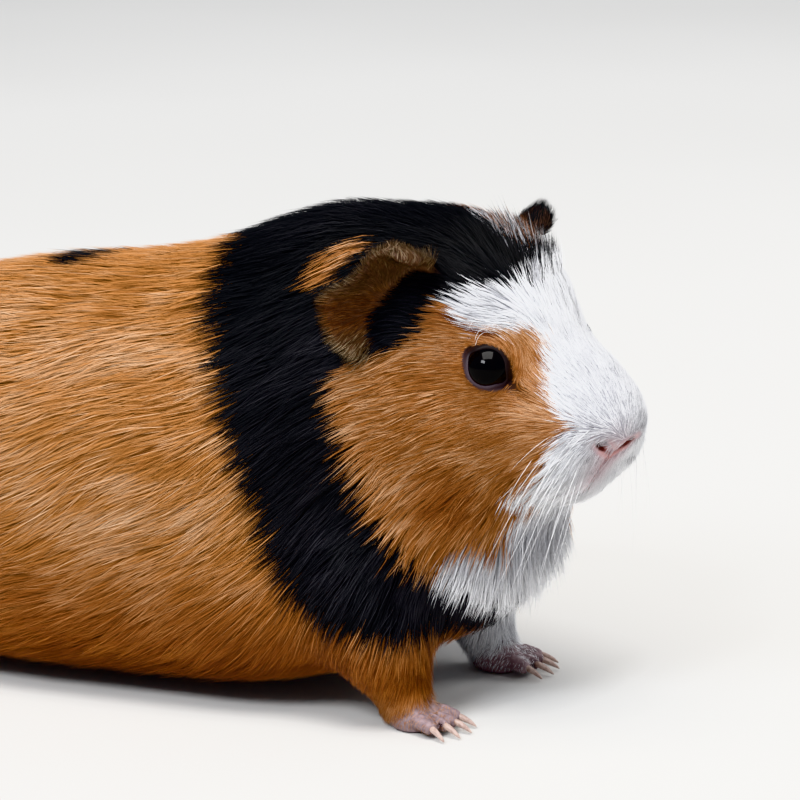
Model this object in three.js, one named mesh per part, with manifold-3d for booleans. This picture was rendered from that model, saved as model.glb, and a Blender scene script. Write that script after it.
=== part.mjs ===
// A life-size guinea pig of the smooth-coated kind, resting low on four feet with its head raised.
// Millimetres, +Z up, nose towards +X, its left side towards +Y. The flats under the feet lie at z = 0.
//
// Trunk, neck and head are one smooth form, made of rounded masses that melt into each other, and its
// outline is that of the tips of the coat. The form is sampled along a bent spine and parted at fixed
// stations, with a thin gap between one part and the next.
import * as THREE from "three";
import { mergeVertices } from "three/addons/utils/BufferGeometryUtils.js";
import Module from "manifold-3d";

const wasm = await Module();
wasm.setup();

// Driving dimensions
const GAP = 0.3; // between parts that touch
const BELLY_CLEARANCE = 2; // under the belly, above the floor
const RING_SIDES = 32; // round the body
const TRUNK_BLEND = 16; // how far masses melt into each other
const HEAD_BLEND = 7;
const NECK_BLEND = 12;
const NOSE_TIP = new THREE.Vector3(70.8, -8.7, 65.2);
const HEAD_PITCH = THREE.MathUtils.degToRad(25); // the muzzle points this far below level
const HEAD_TURN = THREE.MathUtils.degToRad(10); // and this far to the animal's right
const MOUTH_DROP = 16.8; // from the nose tip's level down to the mouth, square to the muzzle
const EYE_RADIUS = 5;
const EYE_PLACE = [-31, 14.5, -1.5]; // in the head's frame
const NOSTRIL_APART = 8.4;
const NOSTRIL_DROP = 6.8; // below the nose tip's level
const EAR_THICKNESS = { base: 2.6, margin: 1.4 };
const EAR_DROOP = { right: [0, 0, 0], left: [-3, 0.5, -5] }; // how far the front of each margin hangs
const SIDES = { right: -1, left: 1 }; // the sign of y on each side
const FORE_WRISTS = { right: [22, -20], left: [21, 21] }; // x and y
const HIND_HEELS = { right: [-126, -32], left: [-121, 32] };
const WRIST_HEIGHT = 9;

const COLOURS = {
  ginger: 0xb9722f,
  black: 0x17161a,
  white: 0xe9e6e4,
  eye: 0x0b090a,
  bareSkin: 0x9c8583,
  claw: 0xb7a696,
};

const LEFTWARDS = new THREE.Vector3(0, 1, 0);
const UPWARDS = new THREE.Vector3(0, 0, 1);
const vector = ([x, y, z]) => new THREE.Vector3(x, y, z);
const smoothCurve = (points) => new THREE.CatmullRomCurve3(points.map(vector));

// The head's own frame: forward along the muzzle from the nose tip, out to the left, and up.
const headFrame = new THREE.Matrix4()
  .makeTranslation(NOSE_TIP)
  .multiply(new THREE.Matrix4().makeRotationZ(-HEAD_TURN))
  .multiply(new THREE.Matrix4().makeRotationY(HEAD_PITCH));
const toHeadFrame = headFrame.clone().invert();
const headForward = new THREE.Vector3().setFromMatrixColumn(headFrame, 0);
const headUp = new THREE.Vector3().setFromMatrixColumn(headFrame, 2);
const fromHead = (forward, left, up) => new THREE.Vector3(forward, left, up).applyMatrix4(headFrame);
const toHead = (point) => point.clone().applyMatrix4(toHeadFrame);

// A mass is a centre and three radii. A pair stands on both sides of the middle.
const mass = (centre, radii) => ({ centre: vector(centre), radii: vector(radii) });
const pair = ([x, y, z], radii) => [mass([x, y, z], radii), mass([x, -y, z], radii)];

const TRUNK_MASSES = [
  mass([-1, 0, 70], [28, 27, 33]), // nape and neck
  mass([20, 0, 41], [27, 24, 29]), // breast
  mass([-20, 0, 50], [38, 35, 42]), // shoulders
  mass([-54, 0, 44], [58, 42, 43]), // barrel
  mass([-101, 0, 36], [56, 38, 40]), // rump
  ...pair([-26, 17, 20], [43, 20, 20]), // lower flanks
  ...pair([-76, 22, 20], [42, 20, 20]),
  ...pair([-112, 22, 30], [32, 20, 28]), // thighs
];
const HEAD_MASSES = [
  mass([-50, 0, -2], [22, 20, 19.5]), // skull
  mass([-37, 0, 2], [12.5, 13.5, 14.3]), // brow
  mass([-20, 0, -3], [16, 9.5, 11.5]), // bridge of the nose
  ...pair([-22, 7, -10.5], [13, 8.5, 10]), // sides of the muzzle
  mass([-9, 0, -2.5], [7.5, 7.5, 5.5]), // nose
  mass([-14.5, 0, -8], [7.6, 6, 8]), // between the nostrils
  ...pair([-13, 8.8, -11], [8.2, 6, 7.5]), // lips
  mass([-14.5, 0, -18.5], [9.5, 7.5, 6]), // chin
  ...pair([-36, 9, -15], [21, 14, 16.5]), // cheeks
  mass([-38, 0, -20], [23, 14, 15]), // jaw
];

// Distance to a mass, near enough, and negative inside it.
function distanceTo({ centre, radii }, point) {
  const offset = point.clone().sub(centre).divide(radii);
  const slope = offset.clone().divide(radii).length();
  return slope > 0 ? (offset.length() * (offset.length() - 1)) / slope : -radii.x;
}

// The lesser of two distances, rounded off where they are nearly equal.
function melt(a, b, blend) {
  const share = Math.max(blend - Math.abs(a - b), 0) / blend;
  return Math.min(a, b) - (share * share * blend) / 4;
}

const meltAll = (masses, point, blend) =>
  masses.map((each) => distanceTo(each, point)).reduce((a, b) => melt(a, b, blend));

// Distance to the body without its limbs and ears. The belly is flattened a little above the floor.
function bodyDistance(point) {
  const trunk = meltAll(TRUNK_MASSES, point, TRUNK_BLEND);
  const head = meltAll(HEAD_MASSES, toHead(point), HEAD_BLEND);
  const floorwards = BELLY_CLEARANCE - point.z;
  return -melt(-melt(trunk, head, NECK_BLEND), -floorwards, HEAD_BLEND);
}

// The spine's stations: where each is, and how far the section there leans back from upright and turns to
// the animal's right, in degrees.
const STATIONS = {
  tail: { place: [-116, 0, 38], lean: 0, turn: 0 },
  loin: { place: [-90, 0, 42], lean: 0, turn: 0 },
  waist: { place: [-60, 0, 45], lean: 0, turn: 0 },
  withers: { place: [-32, 0, 50], lean: 8, turn: 0 },
  shoulder: { place: [-6, 0, 55], lean: 22, turn: 0 },
  throat: { place: [27, -1, 58], lean: 36, turn: 6 },
  muzzle: { place: [53.5, -5.5, 60], lean: 12, turn: 10 },
  nose: { place: [59, -6.3, 59], lean: -10, turn: 10 },
};
const stationNames = Object.keys(STATIONS);
const FIRST_POLE = -1;
const LAST_POLE = stationNames.length;
const station = (name) => stationNames.indexOf(name);
const spine = smoothCurve(Object.values(STATIONS).map(({ place }) => place));
const leaning = smoothCurve(Object.values(STATIONS).map(({ lean, turn }) => [lean, turn, 0]));

// The ray that leaves the spine at a station, at an angle round the body from its left side. Beyond the
// first and the last station the ray turns until, at the pole, it points along the spine.
function rayAt(along, angle) {
  const inner = THREE.MathUtils.clamp(along, 0, LAST_POLE - 1);
  const share = inner / (LAST_POLE - 1);
  const { x: lean, y: turn } = leaning.getPoint(share).multiplyScalar(THREE.MathUtils.DEG2RAD);
  const polewards = ((along - inner) * Math.PI) / 2;
  const direction = new THREE.Vector3(Math.sin(polewards), Math.cos(angle), Math.sin(angle));
  direction.multiply(new THREE.Vector3(1, Math.cos(polewards), Math.cos(polewards)));
  direction.applyAxisAngle(LEFTWARDS, -lean).applyAxisAngle(UPWARDS, -turn);
  return new THREE.Ray(spine.getPoint(share), direction);
}

// Where a ray leaves the body, swollen by some millimetres.
function surfacePoint(ray, swell) {
  const isOutside = (t) => bodyDistance(ray.at(t, new THREE.Vector3())) > swell;
  const step = 2;
  let near = 0;
  while (!isOutside(near + step)) near += step;
  let far = near + step;
  for (let halving = 0; halving < 14; halving++) {
    const middle = (near + far) / 2;
    if (isOutside(middle)) far = middle;
    else near = middle;
  }
  return ray.at(far, new THREE.Vector3());
}

// A closed geometry as a solid, once its vertices are merged and collapsed faces are dropped.
function solidFrom(geometry) {
  geometry.deleteAttribute("normal");
  geometry.deleteAttribute("uv");
  const merged = mergeVertices(geometry, 1e-4);
  const corners = Array.from(merged.index.array);
  const kept = [];
  for (let i = 0; i < corners.length; i += 3) {
    const [a, b, c] = corners.slice(i, i + 3);
    if (a !== b && b !== c && a !== c) kept.push(a, b, c);
  }
  const mesh = new wasm.Mesh({
    numProp: 3,
    vertProperties: merged.getAttribute("position").array,
    triVerts: new Uint32Array(kept),
  });
  return new wasm.Manifold(mesh);
}

function geometryFrom(solid) {
  const mesh = solid.getMesh();
  const geometry = new THREE.BufferGeometry();
  geometry.setAttribute("position", new THREE.BufferAttribute(mesh.vertProperties, 3));
  geometry.setIndex(new THREE.BufferAttribute(mesh.triVerts, 1));
  geometry.computeVertexNormals();
  return geometry;
}

// A cylinder whose every vertex is moved to where place() says, from its height (0 to 1), its angle,
// and whether it is on the rim or at the middle of an end.
function shapedCylinder(sides, rings, place) {
  const geometry = new THREE.CylinderGeometry(1, 1, 1, sides, rings);
  const position = geometry.getAttribute("position");
  for (let i = 0; i < position.count; i++) {
    const [x, z] = [position.getX(i), position.getZ(i)];
    const placed = place(position.getY(i) + 0.5, Math.atan2(x, z), Math.hypot(x, z) > 0.5);
    position.setXYZ(i, ...placed.toArray());
  }
  return solidFrom(geometry);
}

// The body from one station to another, swollen by some millimetres.
function bodyLength(from, to, rings, swell = 0) {
  return shapedCylinder(RING_SIDES, rings, (height, angle, onRim) => {
    const along = THREE.MathUtils.lerp(from, to, height);
    const ray = rayAt(along, angle);
    const isPole = along === FIRST_POLE || along === LAST_POLE;
    return onRim || isPole ? surfacePoint(ray, swell) : ray.origin;
  });
}

function ellipsoid(centre, radii, sides, rings) {
  const geometry = new THREE.SphereGeometry(1, sides, rings);
  return solidFrom(geometry.scale(...radii).translate(...centre));
}

// A round limb through a list of centres, with a radius at each and flat ends.
function limb(centres, radii, sides, rings) {
  const middle = smoothCurve(centres);
  const width = smoothCurve(radii.map((radius) => [radius, 0, 0]));
  return shapedCylinder(sides, rings, (height, angle, onRim) => {
    const forward = middle.getTangent(height);
    const across = new THREE.Vector3(0, 1, 0).addScaledVector(forward, -forward.y).normalize();
    const upward = new THREE.Vector3().crossVectors(forward, across);
    const radius = onRim ? width.getPoint(height).x : 0;
    return middle
      .getPoint(height)
      .addScaledVector(across, radius * Math.cos(angle))
      .addScaledVector(upward, radius * Math.sin(angle));
  });
}

// All of space on one side of a plane, as far as this object reaches.
function halfSpace(point, normal) {
  const size = 400;
  const block = new THREE.BoxGeometry(size, size, size).translate(0, 0, size / 2);
  const turn = new THREE.Quaternion().setFromUnitVectors(new THREE.Vector3(0, 0, 1), normal);
  return solidFrom(block.applyQuaternion(turn).translate(...point.toArray()));
}
const ABOVE_FLOOR = halfSpace(new THREE.Vector3(0, 0, 0), new THREE.Vector3(0, 0, 1));

const root = new THREE.Group();

function add(name, solid, colour, roughness = 0.85) {
  const material = new THREE.MeshStandardMaterial({ color: colour, roughness, metalness: 0 });
  const mesh = new THREE.Mesh(geometryFrom(solid), material);
  mesh.name = name;
  root.add(mesh);
}

// The lengths of the body: where each begins and ends, and how many rings it has.
const LENGTHS = {
  rump: [FIRST_POLE, station("loin"), 11],
  trunk: [station("loin"), station("withers"), 8],
  shoulders: [station("withers"), station("shoulder"), 4],
  neck: [station("shoulder"), station("throat"), 6],
  head: [station("throat"), station("muzzle"), 8],
  muzzle: [station("muzzle"), LAST_POLE, 10],
};
const HALF_GAP = GAP / 2 / 25; // as a share of the way from one station to the next

function lengthOfBody(name) {
  const [from, to, rings] = LENGTHS[name];
  const start = from === FIRST_POLE ? from : from + HALF_GAP;
  const end = to === LAST_POLE ? to : to - HALF_GAP;
  return bodyLength(start, end, rings);
}

const swollenBody = Object.values(LENGTHS)
  .map(([from, to, rings]) => bodyLength(from, to, rings, GAP))
  .reduce((a, b) => a.add(b));

// Eyes in round sockets, and nostrils
function ball(place, side, radius) {
  const [forward, out, up] = place;
  const centre = fromHead(forward, out * SIDES[side], up);
  return ellipsoid(centre.toArray(), [radius, radius, radius], 14, 9);
}

function nostril(side) {
  const inside = fromHead(-14, (NOSTRIL_APART / 2) * SIDES[side], -NOSTRIL_DROP);
  const opening = surfacePoint(new THREE.Ray(inside, headForward), 0);
  return ellipsoid(opening.toArray(), [2.2, 1.3, 1], 8, 6);
}

let head = lengthOfBody("head");
let muzzle = lengthOfBody("muzzle");
for (const side in SIDES) {
  head = head.subtract(ball(EYE_PLACE, side, EYE_RADIUS + GAP));
  muzzle = muzzle.subtract(nostril(side));
  add(`eye_${side}`, ball(EYE_PLACE, side, EYE_RADIUS), COLOURS.eye, 0.1);
}

// The mouth parts the chin from the muzzle.
const upperLip = fromHead(0, 0, -MOUTH_DROP + GAP / 2);
const lowerLip = fromHead(0, 0, -MOUTH_DROP - GAP / 2);
add("chin", muzzle.intersect(halfSpace(lowerLip, headUp.clone().negate())), COLOURS.white);
add("muzzle", muzzle.intersect(halfSpace(upperLip, headUp)), COLOURS.white);
add("head", head, COLOURS.ginger);
add("neck", lengthOfBody("neck"), COLOURS.black);
add("shoulders", lengthOfBody("shoulders"), COLOURS.black);
add("trunk", lengthOfBody("trunk"), COLOURS.ginger);

// The haunches are parted from the rump.
const haunch = (side, swell) =>
  ellipsoid([-112, 36 * SIDES[side], 30], [30 + swell, 20 + swell, 26 + swell], 16, 10);

const wholeRump = lengthOfBody("rump");
let rump = wholeRump;
for (const side in SIDES) {
  rump = rump.subtract(haunch(side, GAP));
  add(`hindleg_${side}`, wholeRump.intersect(haunch(side, 0)), COLOURS.ginger);
}
add("rump", rump, COLOURS.ginger);

// An ear is a cupped petal. It leaves the head along its root, bellies backwards to its crest and ends at
// its margin, and in front its upper part folds over along the crest. All three curves run from the front
// over the top to the lobe, in the head's frame, as if for the left side.
const EAR_ROOT = smoothCurve([
  [-50.5, 14.5, 9.5],
  [-54, 15, 7],
  [-54.6, 16, 4.5],
  [-54.4, 17, 2],
  [-54.4, 18, -1],
  [-54.2, 19, -4],
  [-53.5, 20, -6],
  [-52.7, 20.5, -7.5],
  [-51.7, 21, -9],
  [-50.5, 21.5, -10.2],
]);
const EAR_CREST = smoothCurve([
  [-49.4, 21.9, 12.7],
  [-52.1, 24.2, 14.6],
  [-54.9, 26.7, 14.5],
  [-56.7, 25.8, 10.4],
  [-57, 25.8, 4.9],
  [-57.8, 26.8, 0.2],
  [-57.6, 27, -3.2],
  [-55.9, 27.2, -6.2],
  [-54, 27, -8.1],
  [-52.1, 26.8, -9.1],
]);
const EAR_MARGIN = smoothCurve([
  [-48.3, 23.3, 12.9],
  [-49, 26.9, 13.3],
  [-51.4, 29.8, 13.7],
  [-55.9, 30.1, 13.5],
  [-56.5, 31.6, 7.5],
  [-59.6, 33.5, 2.3],
  [-60.7, 33.9, -0.5],
  [-58, 32.8, -5.5],
  [-54.5, 31, -9.2],
  [-50.4, 28.4, -9.8],
]);

function earMiddle(side, around, out) {
  const rib = [EAR_ROOT, EAR_CREST, EAR_MARGIN].map((curve) => curve.getPoint(around));
  const droop = vector(EAR_DROOP[side]).multiplyScalar(1 - 0.6 * around);
  return new THREE.CatmullRomCurve3(rib).getPoint(out).addScaledVector(droop, out);
}

function earNormal(side, around, out) {
  const step = 0.03;
  const [x, y] = [around, out].map((share) => THREE.MathUtils.clamp(share, step, 1 - step));
  const rimwise = earMiddle(side, x + step, y).sub(earMiddle(side, x - step, y));
  const outwards = earMiddle(side, x, y + step).sub(earMiddle(side, x, y - step));
  return outwards.cross(rimwise).normalize();
}

function ear(side) {
  const geometry = new THREE.BoxGeometry(1, 1, 1, 14, 1, 4);
  const position = geometry.getAttribute("position");
  for (let i = 0; i < position.count; i++) {
    const around = position.getX(i) + 0.5;
    const out = position.getZ(i) + 0.5;
    const thickness = THREE.MathUtils.lerp(EAR_THICKNESS.base, EAR_THICKNESS.margin, out);
    const depth = position.getY(i) * thickness;
    const normal = earNormal(side, around, out);
    const placed = earMiddle(side, around, out).addScaledVector(normal, depth);
    position.setXYZ(i, ...placed.toArray());
  }
  const left = solidFrom(geometry);
  const solid = side === "left" ? left : left.mirror([0, 1, 0]);
  return solid.transform(headFrame.elements).subtract(swollenBody);
}

// A foreleg hangs from the shoulder to the wrist.
function foreleg(side, swell) {
  const [x, y] = FORE_WRISTS[side];
  const centres = [
    [x - 15, y * 0.8, WRIST_HEIGHT + 34],
    [x - 12, y * 0.95, WRIST_HEIGHT + 24],
    [x - 7, y * 1.08, WRIST_HEIGHT + 13],
    [x - 2, y * 1.02, WRIST_HEIGHT + 3],
    [x + 1, y, WRIST_HEIGHT - 3],
  ];
  const radii = [7, 13, 12.5, 9, 6.2].map((radius) => radius + swell);
  return limb(centres, radii, 16, 8);
}

// A foot: a low palm or sole with toes that fan out in front of it, each with a claw of its own.
const FOOT_SHAPES = {
  fore: { turnOut: 8, length: 7, width: 5.8, height: 6, toes: 4, toe: [7.5, 2], fan: 16, claw: 3 },
  hind: { turnOut: 12, length: 17, width: 6.2, height: 6.5, toes: 3, toe: [11, 2.7], fan: 13, claw: 4.5 },
};

function foot(kind, side, [x, y]) {
  const shape = FOOT_SHAPES[kind];
  const [toeLength, toeRadius] = shape.toe;
  const turnOut = THREE.MathUtils.degToRad(shape.turnOut) * SIDES[side];
  const heel = new THREE.Vector3(x, y, 0);
  const heading = new THREE.Vector3(Math.cos(turnOut), Math.sin(turnOut), 0);
  const across = new THREE.Vector3(-heading.y, heading.x, 0);
  const from = (start, direction, reach, height) =>
    start.clone().addScaledVector(direction, reach).setZ(height).toArray();

  let solid = limb(
    [
      from(heel, heading, -3.5, shape.height * 0.5),
      from(heel, heading, 0, shape.height * 0.55),
      from(heel, heading, shape.length * 0.55, shape.height * 0.45),
      from(heel, heading, shape.length, 2.6),
    ],
    [shape.width * 0.4, shape.width * 0.85, shape.width * 0.95, shape.width * 0.6],
    12,
    4,
  );
  const claws = [];
  for (let i = 0; i < shape.toes; i++) {
    const place = (2 * i) / (shape.toes - 1) - 1; // from -1 to 1 across the foot
    const turn = turnOut + THREE.MathUtils.degToRad(shape.fan) * place;
    const direction = new THREE.Vector3(Math.cos(turn), Math.sin(turn), 0);
    const reach = toeLength * (1 - 0.16 * place * place);
    const knuckle = heel
      .clone()
      .addScaledVector(heading, shape.length - 2)
      .addScaledVector(across, shape.width * 0.55 * place);
    const toe = limb(
      [
        from(knuckle, direction, 0, 2.8),
        from(knuckle, direction, reach * 0.4, 3),
        from(knuckle, direction, reach * 0.75, 2.4),
        from(knuckle, direction, reach, 2),
      ],
      [toeRadius, toeRadius, toeRadius * 0.9, toeRadius * 0.65],
      7,
      3,
    );
    solid = solid.add(toe);
    const clawStart = reach + GAP;
    const claw = limb(
      [
        from(knuckle, direction, clawStart, 1.95),
        from(knuckle, direction, clawStart + shape.claw * 0.5, 1.6),
        from(knuckle, direction, clawStart + shape.claw, 0.6),
      ],
      [0.95, 0.7, 0.2],
      5,
      2,
    );
    claws.push(claw);
  }
  return { solid: solid.intersect(ABOVE_FLOOR), claws };
}

for (const side in SIDES) {
  const furColour = side === "right" ? COLOURS.ginger : COLOURS.white;
  const fore = foot("fore", side, FORE_WRISTS[side]);
  const hind = foot("hind", side, HIND_HEELS[side]);
  const sole = hind.solid.subtract(swollenBody).subtract(haunch(side, GAP));
  add(`ear_${side}`, ear(side), COLOURS.ginger);
  add(`foreleg_${side}`, foreleg(side, 0).subtract(swollenBody), furColour);
  add(`forefoot_${side}`, fore.solid.subtract(foreleg(side, GAP)), COLOURS.bareSkin);
  add(`hindfoot_${side}`, sole, COLOURS.bareSkin);
  fore.claws.forEach((claw, i) => add(`foreclaw_${side}_${i + 1}`, claw, COLOURS.claw, 0.5));
  hind.claws.forEach((claw, i) => add(`hindclaw_${side}_${i + 1}`, claw, COLOURS.claw, 0.5));
}

// The origin goes under the middle of the whole animal.
const middle = new THREE.Box3().setFromObject(root).getCenter(new THREE.Vector3());
root.children.forEach((part) => part.geometry.translate(-middle.x, -middle.y, 0));

export default root;
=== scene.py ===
"""A life-size smooth-coated guinea pig in ginger, black and white: its skin, coat, eyes, claws and whiskers.

Everything is in metres in the frame's own axes: the nose towards +X, the animal's left towards +Y, up +Z.
Places on the animal are given in millimetres forward, out and up from the point midway between its eyes,
as they would be if its head were not turned.
"""
import math

import bmesh
import bpy
import numpy as np
from mathutils import Matrix, Vector
from mathutils.bvhtree import BVHTree
from mathutils.kdtree import KDTree


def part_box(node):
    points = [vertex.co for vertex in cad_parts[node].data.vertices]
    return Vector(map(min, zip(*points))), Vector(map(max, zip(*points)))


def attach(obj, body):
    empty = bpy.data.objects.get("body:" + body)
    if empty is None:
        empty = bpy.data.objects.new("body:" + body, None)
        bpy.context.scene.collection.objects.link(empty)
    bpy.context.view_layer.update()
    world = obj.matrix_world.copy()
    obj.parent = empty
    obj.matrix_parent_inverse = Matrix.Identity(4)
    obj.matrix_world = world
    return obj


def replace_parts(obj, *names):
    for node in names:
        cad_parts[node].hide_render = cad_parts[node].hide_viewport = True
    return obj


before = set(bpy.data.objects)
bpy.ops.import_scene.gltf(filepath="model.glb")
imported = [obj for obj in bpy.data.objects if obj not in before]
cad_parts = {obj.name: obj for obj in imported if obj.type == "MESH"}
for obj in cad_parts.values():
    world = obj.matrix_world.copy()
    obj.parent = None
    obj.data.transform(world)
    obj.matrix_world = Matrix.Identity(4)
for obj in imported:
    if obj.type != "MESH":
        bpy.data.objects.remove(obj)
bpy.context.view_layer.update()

MM = 0.001
SEED = 20
BODY = "root"
SIDES = {"right": -1, "left": 1}  # the sign of y on each side


def middle_of(node):
    low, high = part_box(node)
    return np.array((low + high) / 2)


EYES = {side: middle_of(f"eye_{side}") for side in SIDES}
EYE_RADIUS = (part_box("eye_right")[1].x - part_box("eye_right")[0].x) / 2
BROW = (EYES["right"] + EYES["left"]) / 2
EYE_LINE = EYES["left"] - EYES["right"]
HEAD_TURN = math.atan2(EYE_LINE[0], EYE_LINE[1])  # towards the animal's right
HEAD_FORWARD = np.array((math.cos(HEAD_TURN), -math.sin(HEAD_TURN), 0))
HEAD_LEFT = np.array((math.sin(HEAD_TURN), math.cos(HEAD_TURN), 0))
BODY_SHIFT = np.array((4.5, -3.7, 0.8))  # millimetres from the turned head's midline to the body's
NECK_TWIST = (-44, -26)  # millimetres forward over which the head's turn comes in
CHEST_TWIST = (-60, -46)  # and millimetres up
FAR = 9.0  # millimetres, or shares of a shape's size, that stand for anywhere well outside it
BARE_NODES = [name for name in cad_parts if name.startswith(("eye_", "foreclaw_", "hindclaw_"))]
FLESH_NODES = sorted(set(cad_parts) - set(BARE_NODES))


# ---------------------------------------------------------------- arithmetic on arrays of points


def straightened(points):
    """Millimetres forward, left and up as if the head were not turned, and each point's share in the turn."""
    offset = (points - BROW) / MM
    of_body = offset + BODY_SHIFT
    of_head = np.column_stack((offset @ HEAD_FORWARD, offset @ HEAD_LEFT, offset[:, 2]))
    share = smoothstep(*NECK_TWIST, of_body[:, 0]) * smoothstep(*CHEST_TWIST, of_body[:, 2])
    return of_body + (of_head - of_body) * share[:, None], share


def places(points):
    """Millimetres forward, out and up from midway between the eyes, alike for both sides."""
    straight, _ = straightened(points)
    return straight * np.column_stack((np.ones(len(points)), np.sign(straight[:, 1]), np.ones(len(points))))


def turned(directions, share):
    """Directions on the straight animal as they are on the animal with its head turned."""
    angle = HEAD_TURN * share
    x, y = directions[:, 0], directions[:, 1]
    forward = x * np.cos(angle) + y * np.sin(angle)
    return np.column_stack((forward, y * np.cos(angle) - x * np.sin(angle), directions[:, 2]))


def on_head(place, sign=1):
    """A place on the head, on the side with this sign, in the frame's metres."""
    return BROW + (place[0] * HEAD_FORWARD + place[1] * sign * HEAD_LEFT + np.array((0, 0, place[2]))) * MM


def unit(vectors):
    return vectors / np.maximum(np.linalg.norm(vectors, axis=-1, keepdims=True), 1e-12)


def along(vectors, directions):
    return (vectors * directions).sum(-1)


def flattened(vectors, normals):
    """Vectors laid flat against a surface with these normals, at unit length."""
    return unit(vectors - normals * along(vectors, normals)[:, None])


def smoothstep(low, high, value):
    share = np.clip((value - low) / (high - low), 0, 1)
    return share * share * (3 - 2 * share)


def between(value, entering, leaving):
    """1 within a band and 0 outside, changing smoothly over the stretches at its two ends."""
    return smoothstep(*entering, value) * smoothstep(*leaving, value)


def waves(points, size, seed):
    """A smooth random value, mostly within 1 of nought, that changes over this size in metres."""
    source = np.random.default_rng(SEED + seed)
    count = 14
    turns = source.normal(size=(3, count)) * (math.pi / size)
    return np.sin(points @ turns + source.uniform(0, 2 * math.pi, count)).sum(1) / math.sqrt(count)


def rounded(outline, rounds=2):
    """A closed outline with its corners cut off, so that it curves."""
    points = np.array(outline, float)
    for _ in range(rounds):
        ahead = np.roll(points, -1, axis=0)
        points = np.stack((points * 0.75 + ahead * 0.25, points * 0.25 + ahead * 0.75), 1).reshape(-1, 2)
    return points


def depth_inside(outline, place):
    """How many millimetres each place lies inside a closed outline seen from the side, negative outside."""
    x, z = place[:, 0], place[:, 2]
    corners = rounded(outline)
    nearest = np.full(len(x), np.inf)
    within = np.zeros(len(x), bool)
    for (ax, az), (bx, bz) in zip(corners, np.roll(corners, -1, axis=0)):
        run, rise = bx - ax, bz - az
        share = np.clip(((x - ax) * run + (z - az) * rise) / (run * run + rise * rise), 0, 1)
        nearest = np.minimum(nearest, np.hypot(x - ax - share * run, z - az - share * rise))
        if rise:
            within ^= ((az > z) != (bz > z)) & (x < ax + (z - az) * run / rise)
    return np.where(within, nearest, -nearest)


# ---------------------------------------------------------------- markings

# Outlines seen from the side, forward and up. Each is painted over the ones before it.
BLACK_HOOD = [
    (-68, 30), (-66, 18.2), (-61, 15), (-59.5, 10.5), (-57.6, 3.7), (-54.6, -3.4), (-52.1, -8.9),
    (-50.3, -13.6), (-47.7, -18.9), (-44.5, -26.5), (-42.2, -32.7), (-40.5, -37.9), (-38.2, -44),
    (-35.1, -49.2), (-31.8, -52.9), (-25, -54.7), (-18.9, -55.4), (-12.6, -56.2), (-8.6, -57.6), (0, -61),
    (60, -61), (60, 60), (-68, 60),
]
WHITE_BLAZE = [
    (-12.5, 12.6), (-9.8, 13.4), (-5.7, 14.8), (-1.6, 15.2), (0.4, 15.6), (2.2, 16.8), (3.6, 19), (4, 25),
    (60, 25), (60, -80), (8, -61), (3, -57), (-1.3, -53.5), (-5.2, -51.8), (-9.2, -47.6), (-10.8, -43.8),
    (-9, -38), (-2, -34), (0, 4), (-8, 9),
]
GINGER_CHEEK = [
    (-10.8, 9.4), (-10, 11.4), (-9.2, 11.5), (-7.3, 10.1), (-5.8, 9.3), (-2.8, 7.8), (-0.7, 7.3), (1.4, 6.8),
    (3.8, 6), (5.2, 7.2), (6.8, 5.8), (8.5, 3.2), (9.5, 0.8), (11.1, -2), (12, -4.4), (14.8, -7.9),
    (17.8, -9.6), (16.4, -11.8), (15.2, -15.5), (13.3, -18.9), (8.9, -22.8), (4.9, -25.9), (3, -27.5),
    (5.3, -29.2), (8, -30.4), (5.6, -33), (3.7, -35.8), (1.7, -39.2), (-0.9, -39.8), (-3.3, -39.5),
    (-7, -39.5), (-8.9, -40.9), (-10.4, -43.5), (-14.8, -43.7), (-16.3, -39.8), (-19.2, -35),
    (-21.5, -30.7), (-23.7, -25.7), (-25.3, -22), (-26.4, -18.4), (-27.1, -13.9), (-28.2, -9.7),
    (-29.7, -6.1), (-28.7, -3.4), (-25.9, -1.5), (-23.4, -0.1), (-20, 0.7), (-15.8, 3.2), (-12.8, 6.4),
]

# Masses of colour are ellipsoids. Some have a depth: the millimetres by which their middle lies inside them.
WHITE_THROAT = {"place": (4, 0, -36), "radii": (14, 10, 9), "depth": 8}
SPINE_PATCH = {"place": (-103, 2, 11), "radii": (9, 8.5, 5), "depth": 6}
SPECKLED_CROWN = [  # left is positive here
    {"place": (-4, 4.5, 22), "radii": (9, 7, 6), "white": 0.26, "ginger": 0.22},
    {"place": (-15, 8.5, 25), "radii": (15, 5, 6), "white": 0.12, "ginger": 0.45},
]
# The ginger tuft behind the right ear.
EAR_TUFT = {"ends": ((-31.5, 16, 20.5), (-35.5, 20.5, 15)), "radius": 1.9, "wobble": 0.6}
# The brow crease: a line along which painted shade darkens the ginger tufts.
BROW_CREASE = {"line": ((-6.5, 9.0), (-2.8, 7.1), (-0.7, 6.6), (1.6, 6.0)), "width": 0.55}  # forward and up
WHITE_FOOT = {"ahead_of": -30, "below": -60}  # the left forefoot
HOOD_ON_LEFT = {"over": (3, 20), "by": (5.0, 0, 2.0)}  # how much further the hood reaches on that side
EDGE_WOBBLE = {"by": 1.1, "size": 0.011}  # in millimetres and in metres
CALM_HEAD = {"over": (-36, -20), "by": 0.6}  # there the edges wobble less
EDGE_BLUR = 0.5
NOWHERE = -5.0  # a depth inside that stands for well outside


def within_mass(mass, place):
    """1 at the middle of an ellipsoid, 0 on its skin and negative outside."""
    return 1 - np.linalg.norm((place - np.array(mass["place"])) / np.array(mass["radii"]), axis=1)


def from_line(points, ends):
    """How far points are from a line that runs through the ends in turn."""
    nearest = np.full(len(points), np.inf)
    for start, end in zip(np.array(ends[:-1], float), np.array(ends[1:], float)):
        run = end - start
        share = np.clip((points - start) @ run / (run @ run), 0, 1)
        nearest = np.minimum(nearest, np.linalg.norm(points - start - share[:, None] * run, axis=1))
    return nearest


def covered(depth):
    """How fully a marking covers what lies this many millimetres inside it, from 0 to 1."""
    return smoothstep(-EDGE_BLUR, EDGE_BLUR, depth)


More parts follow.
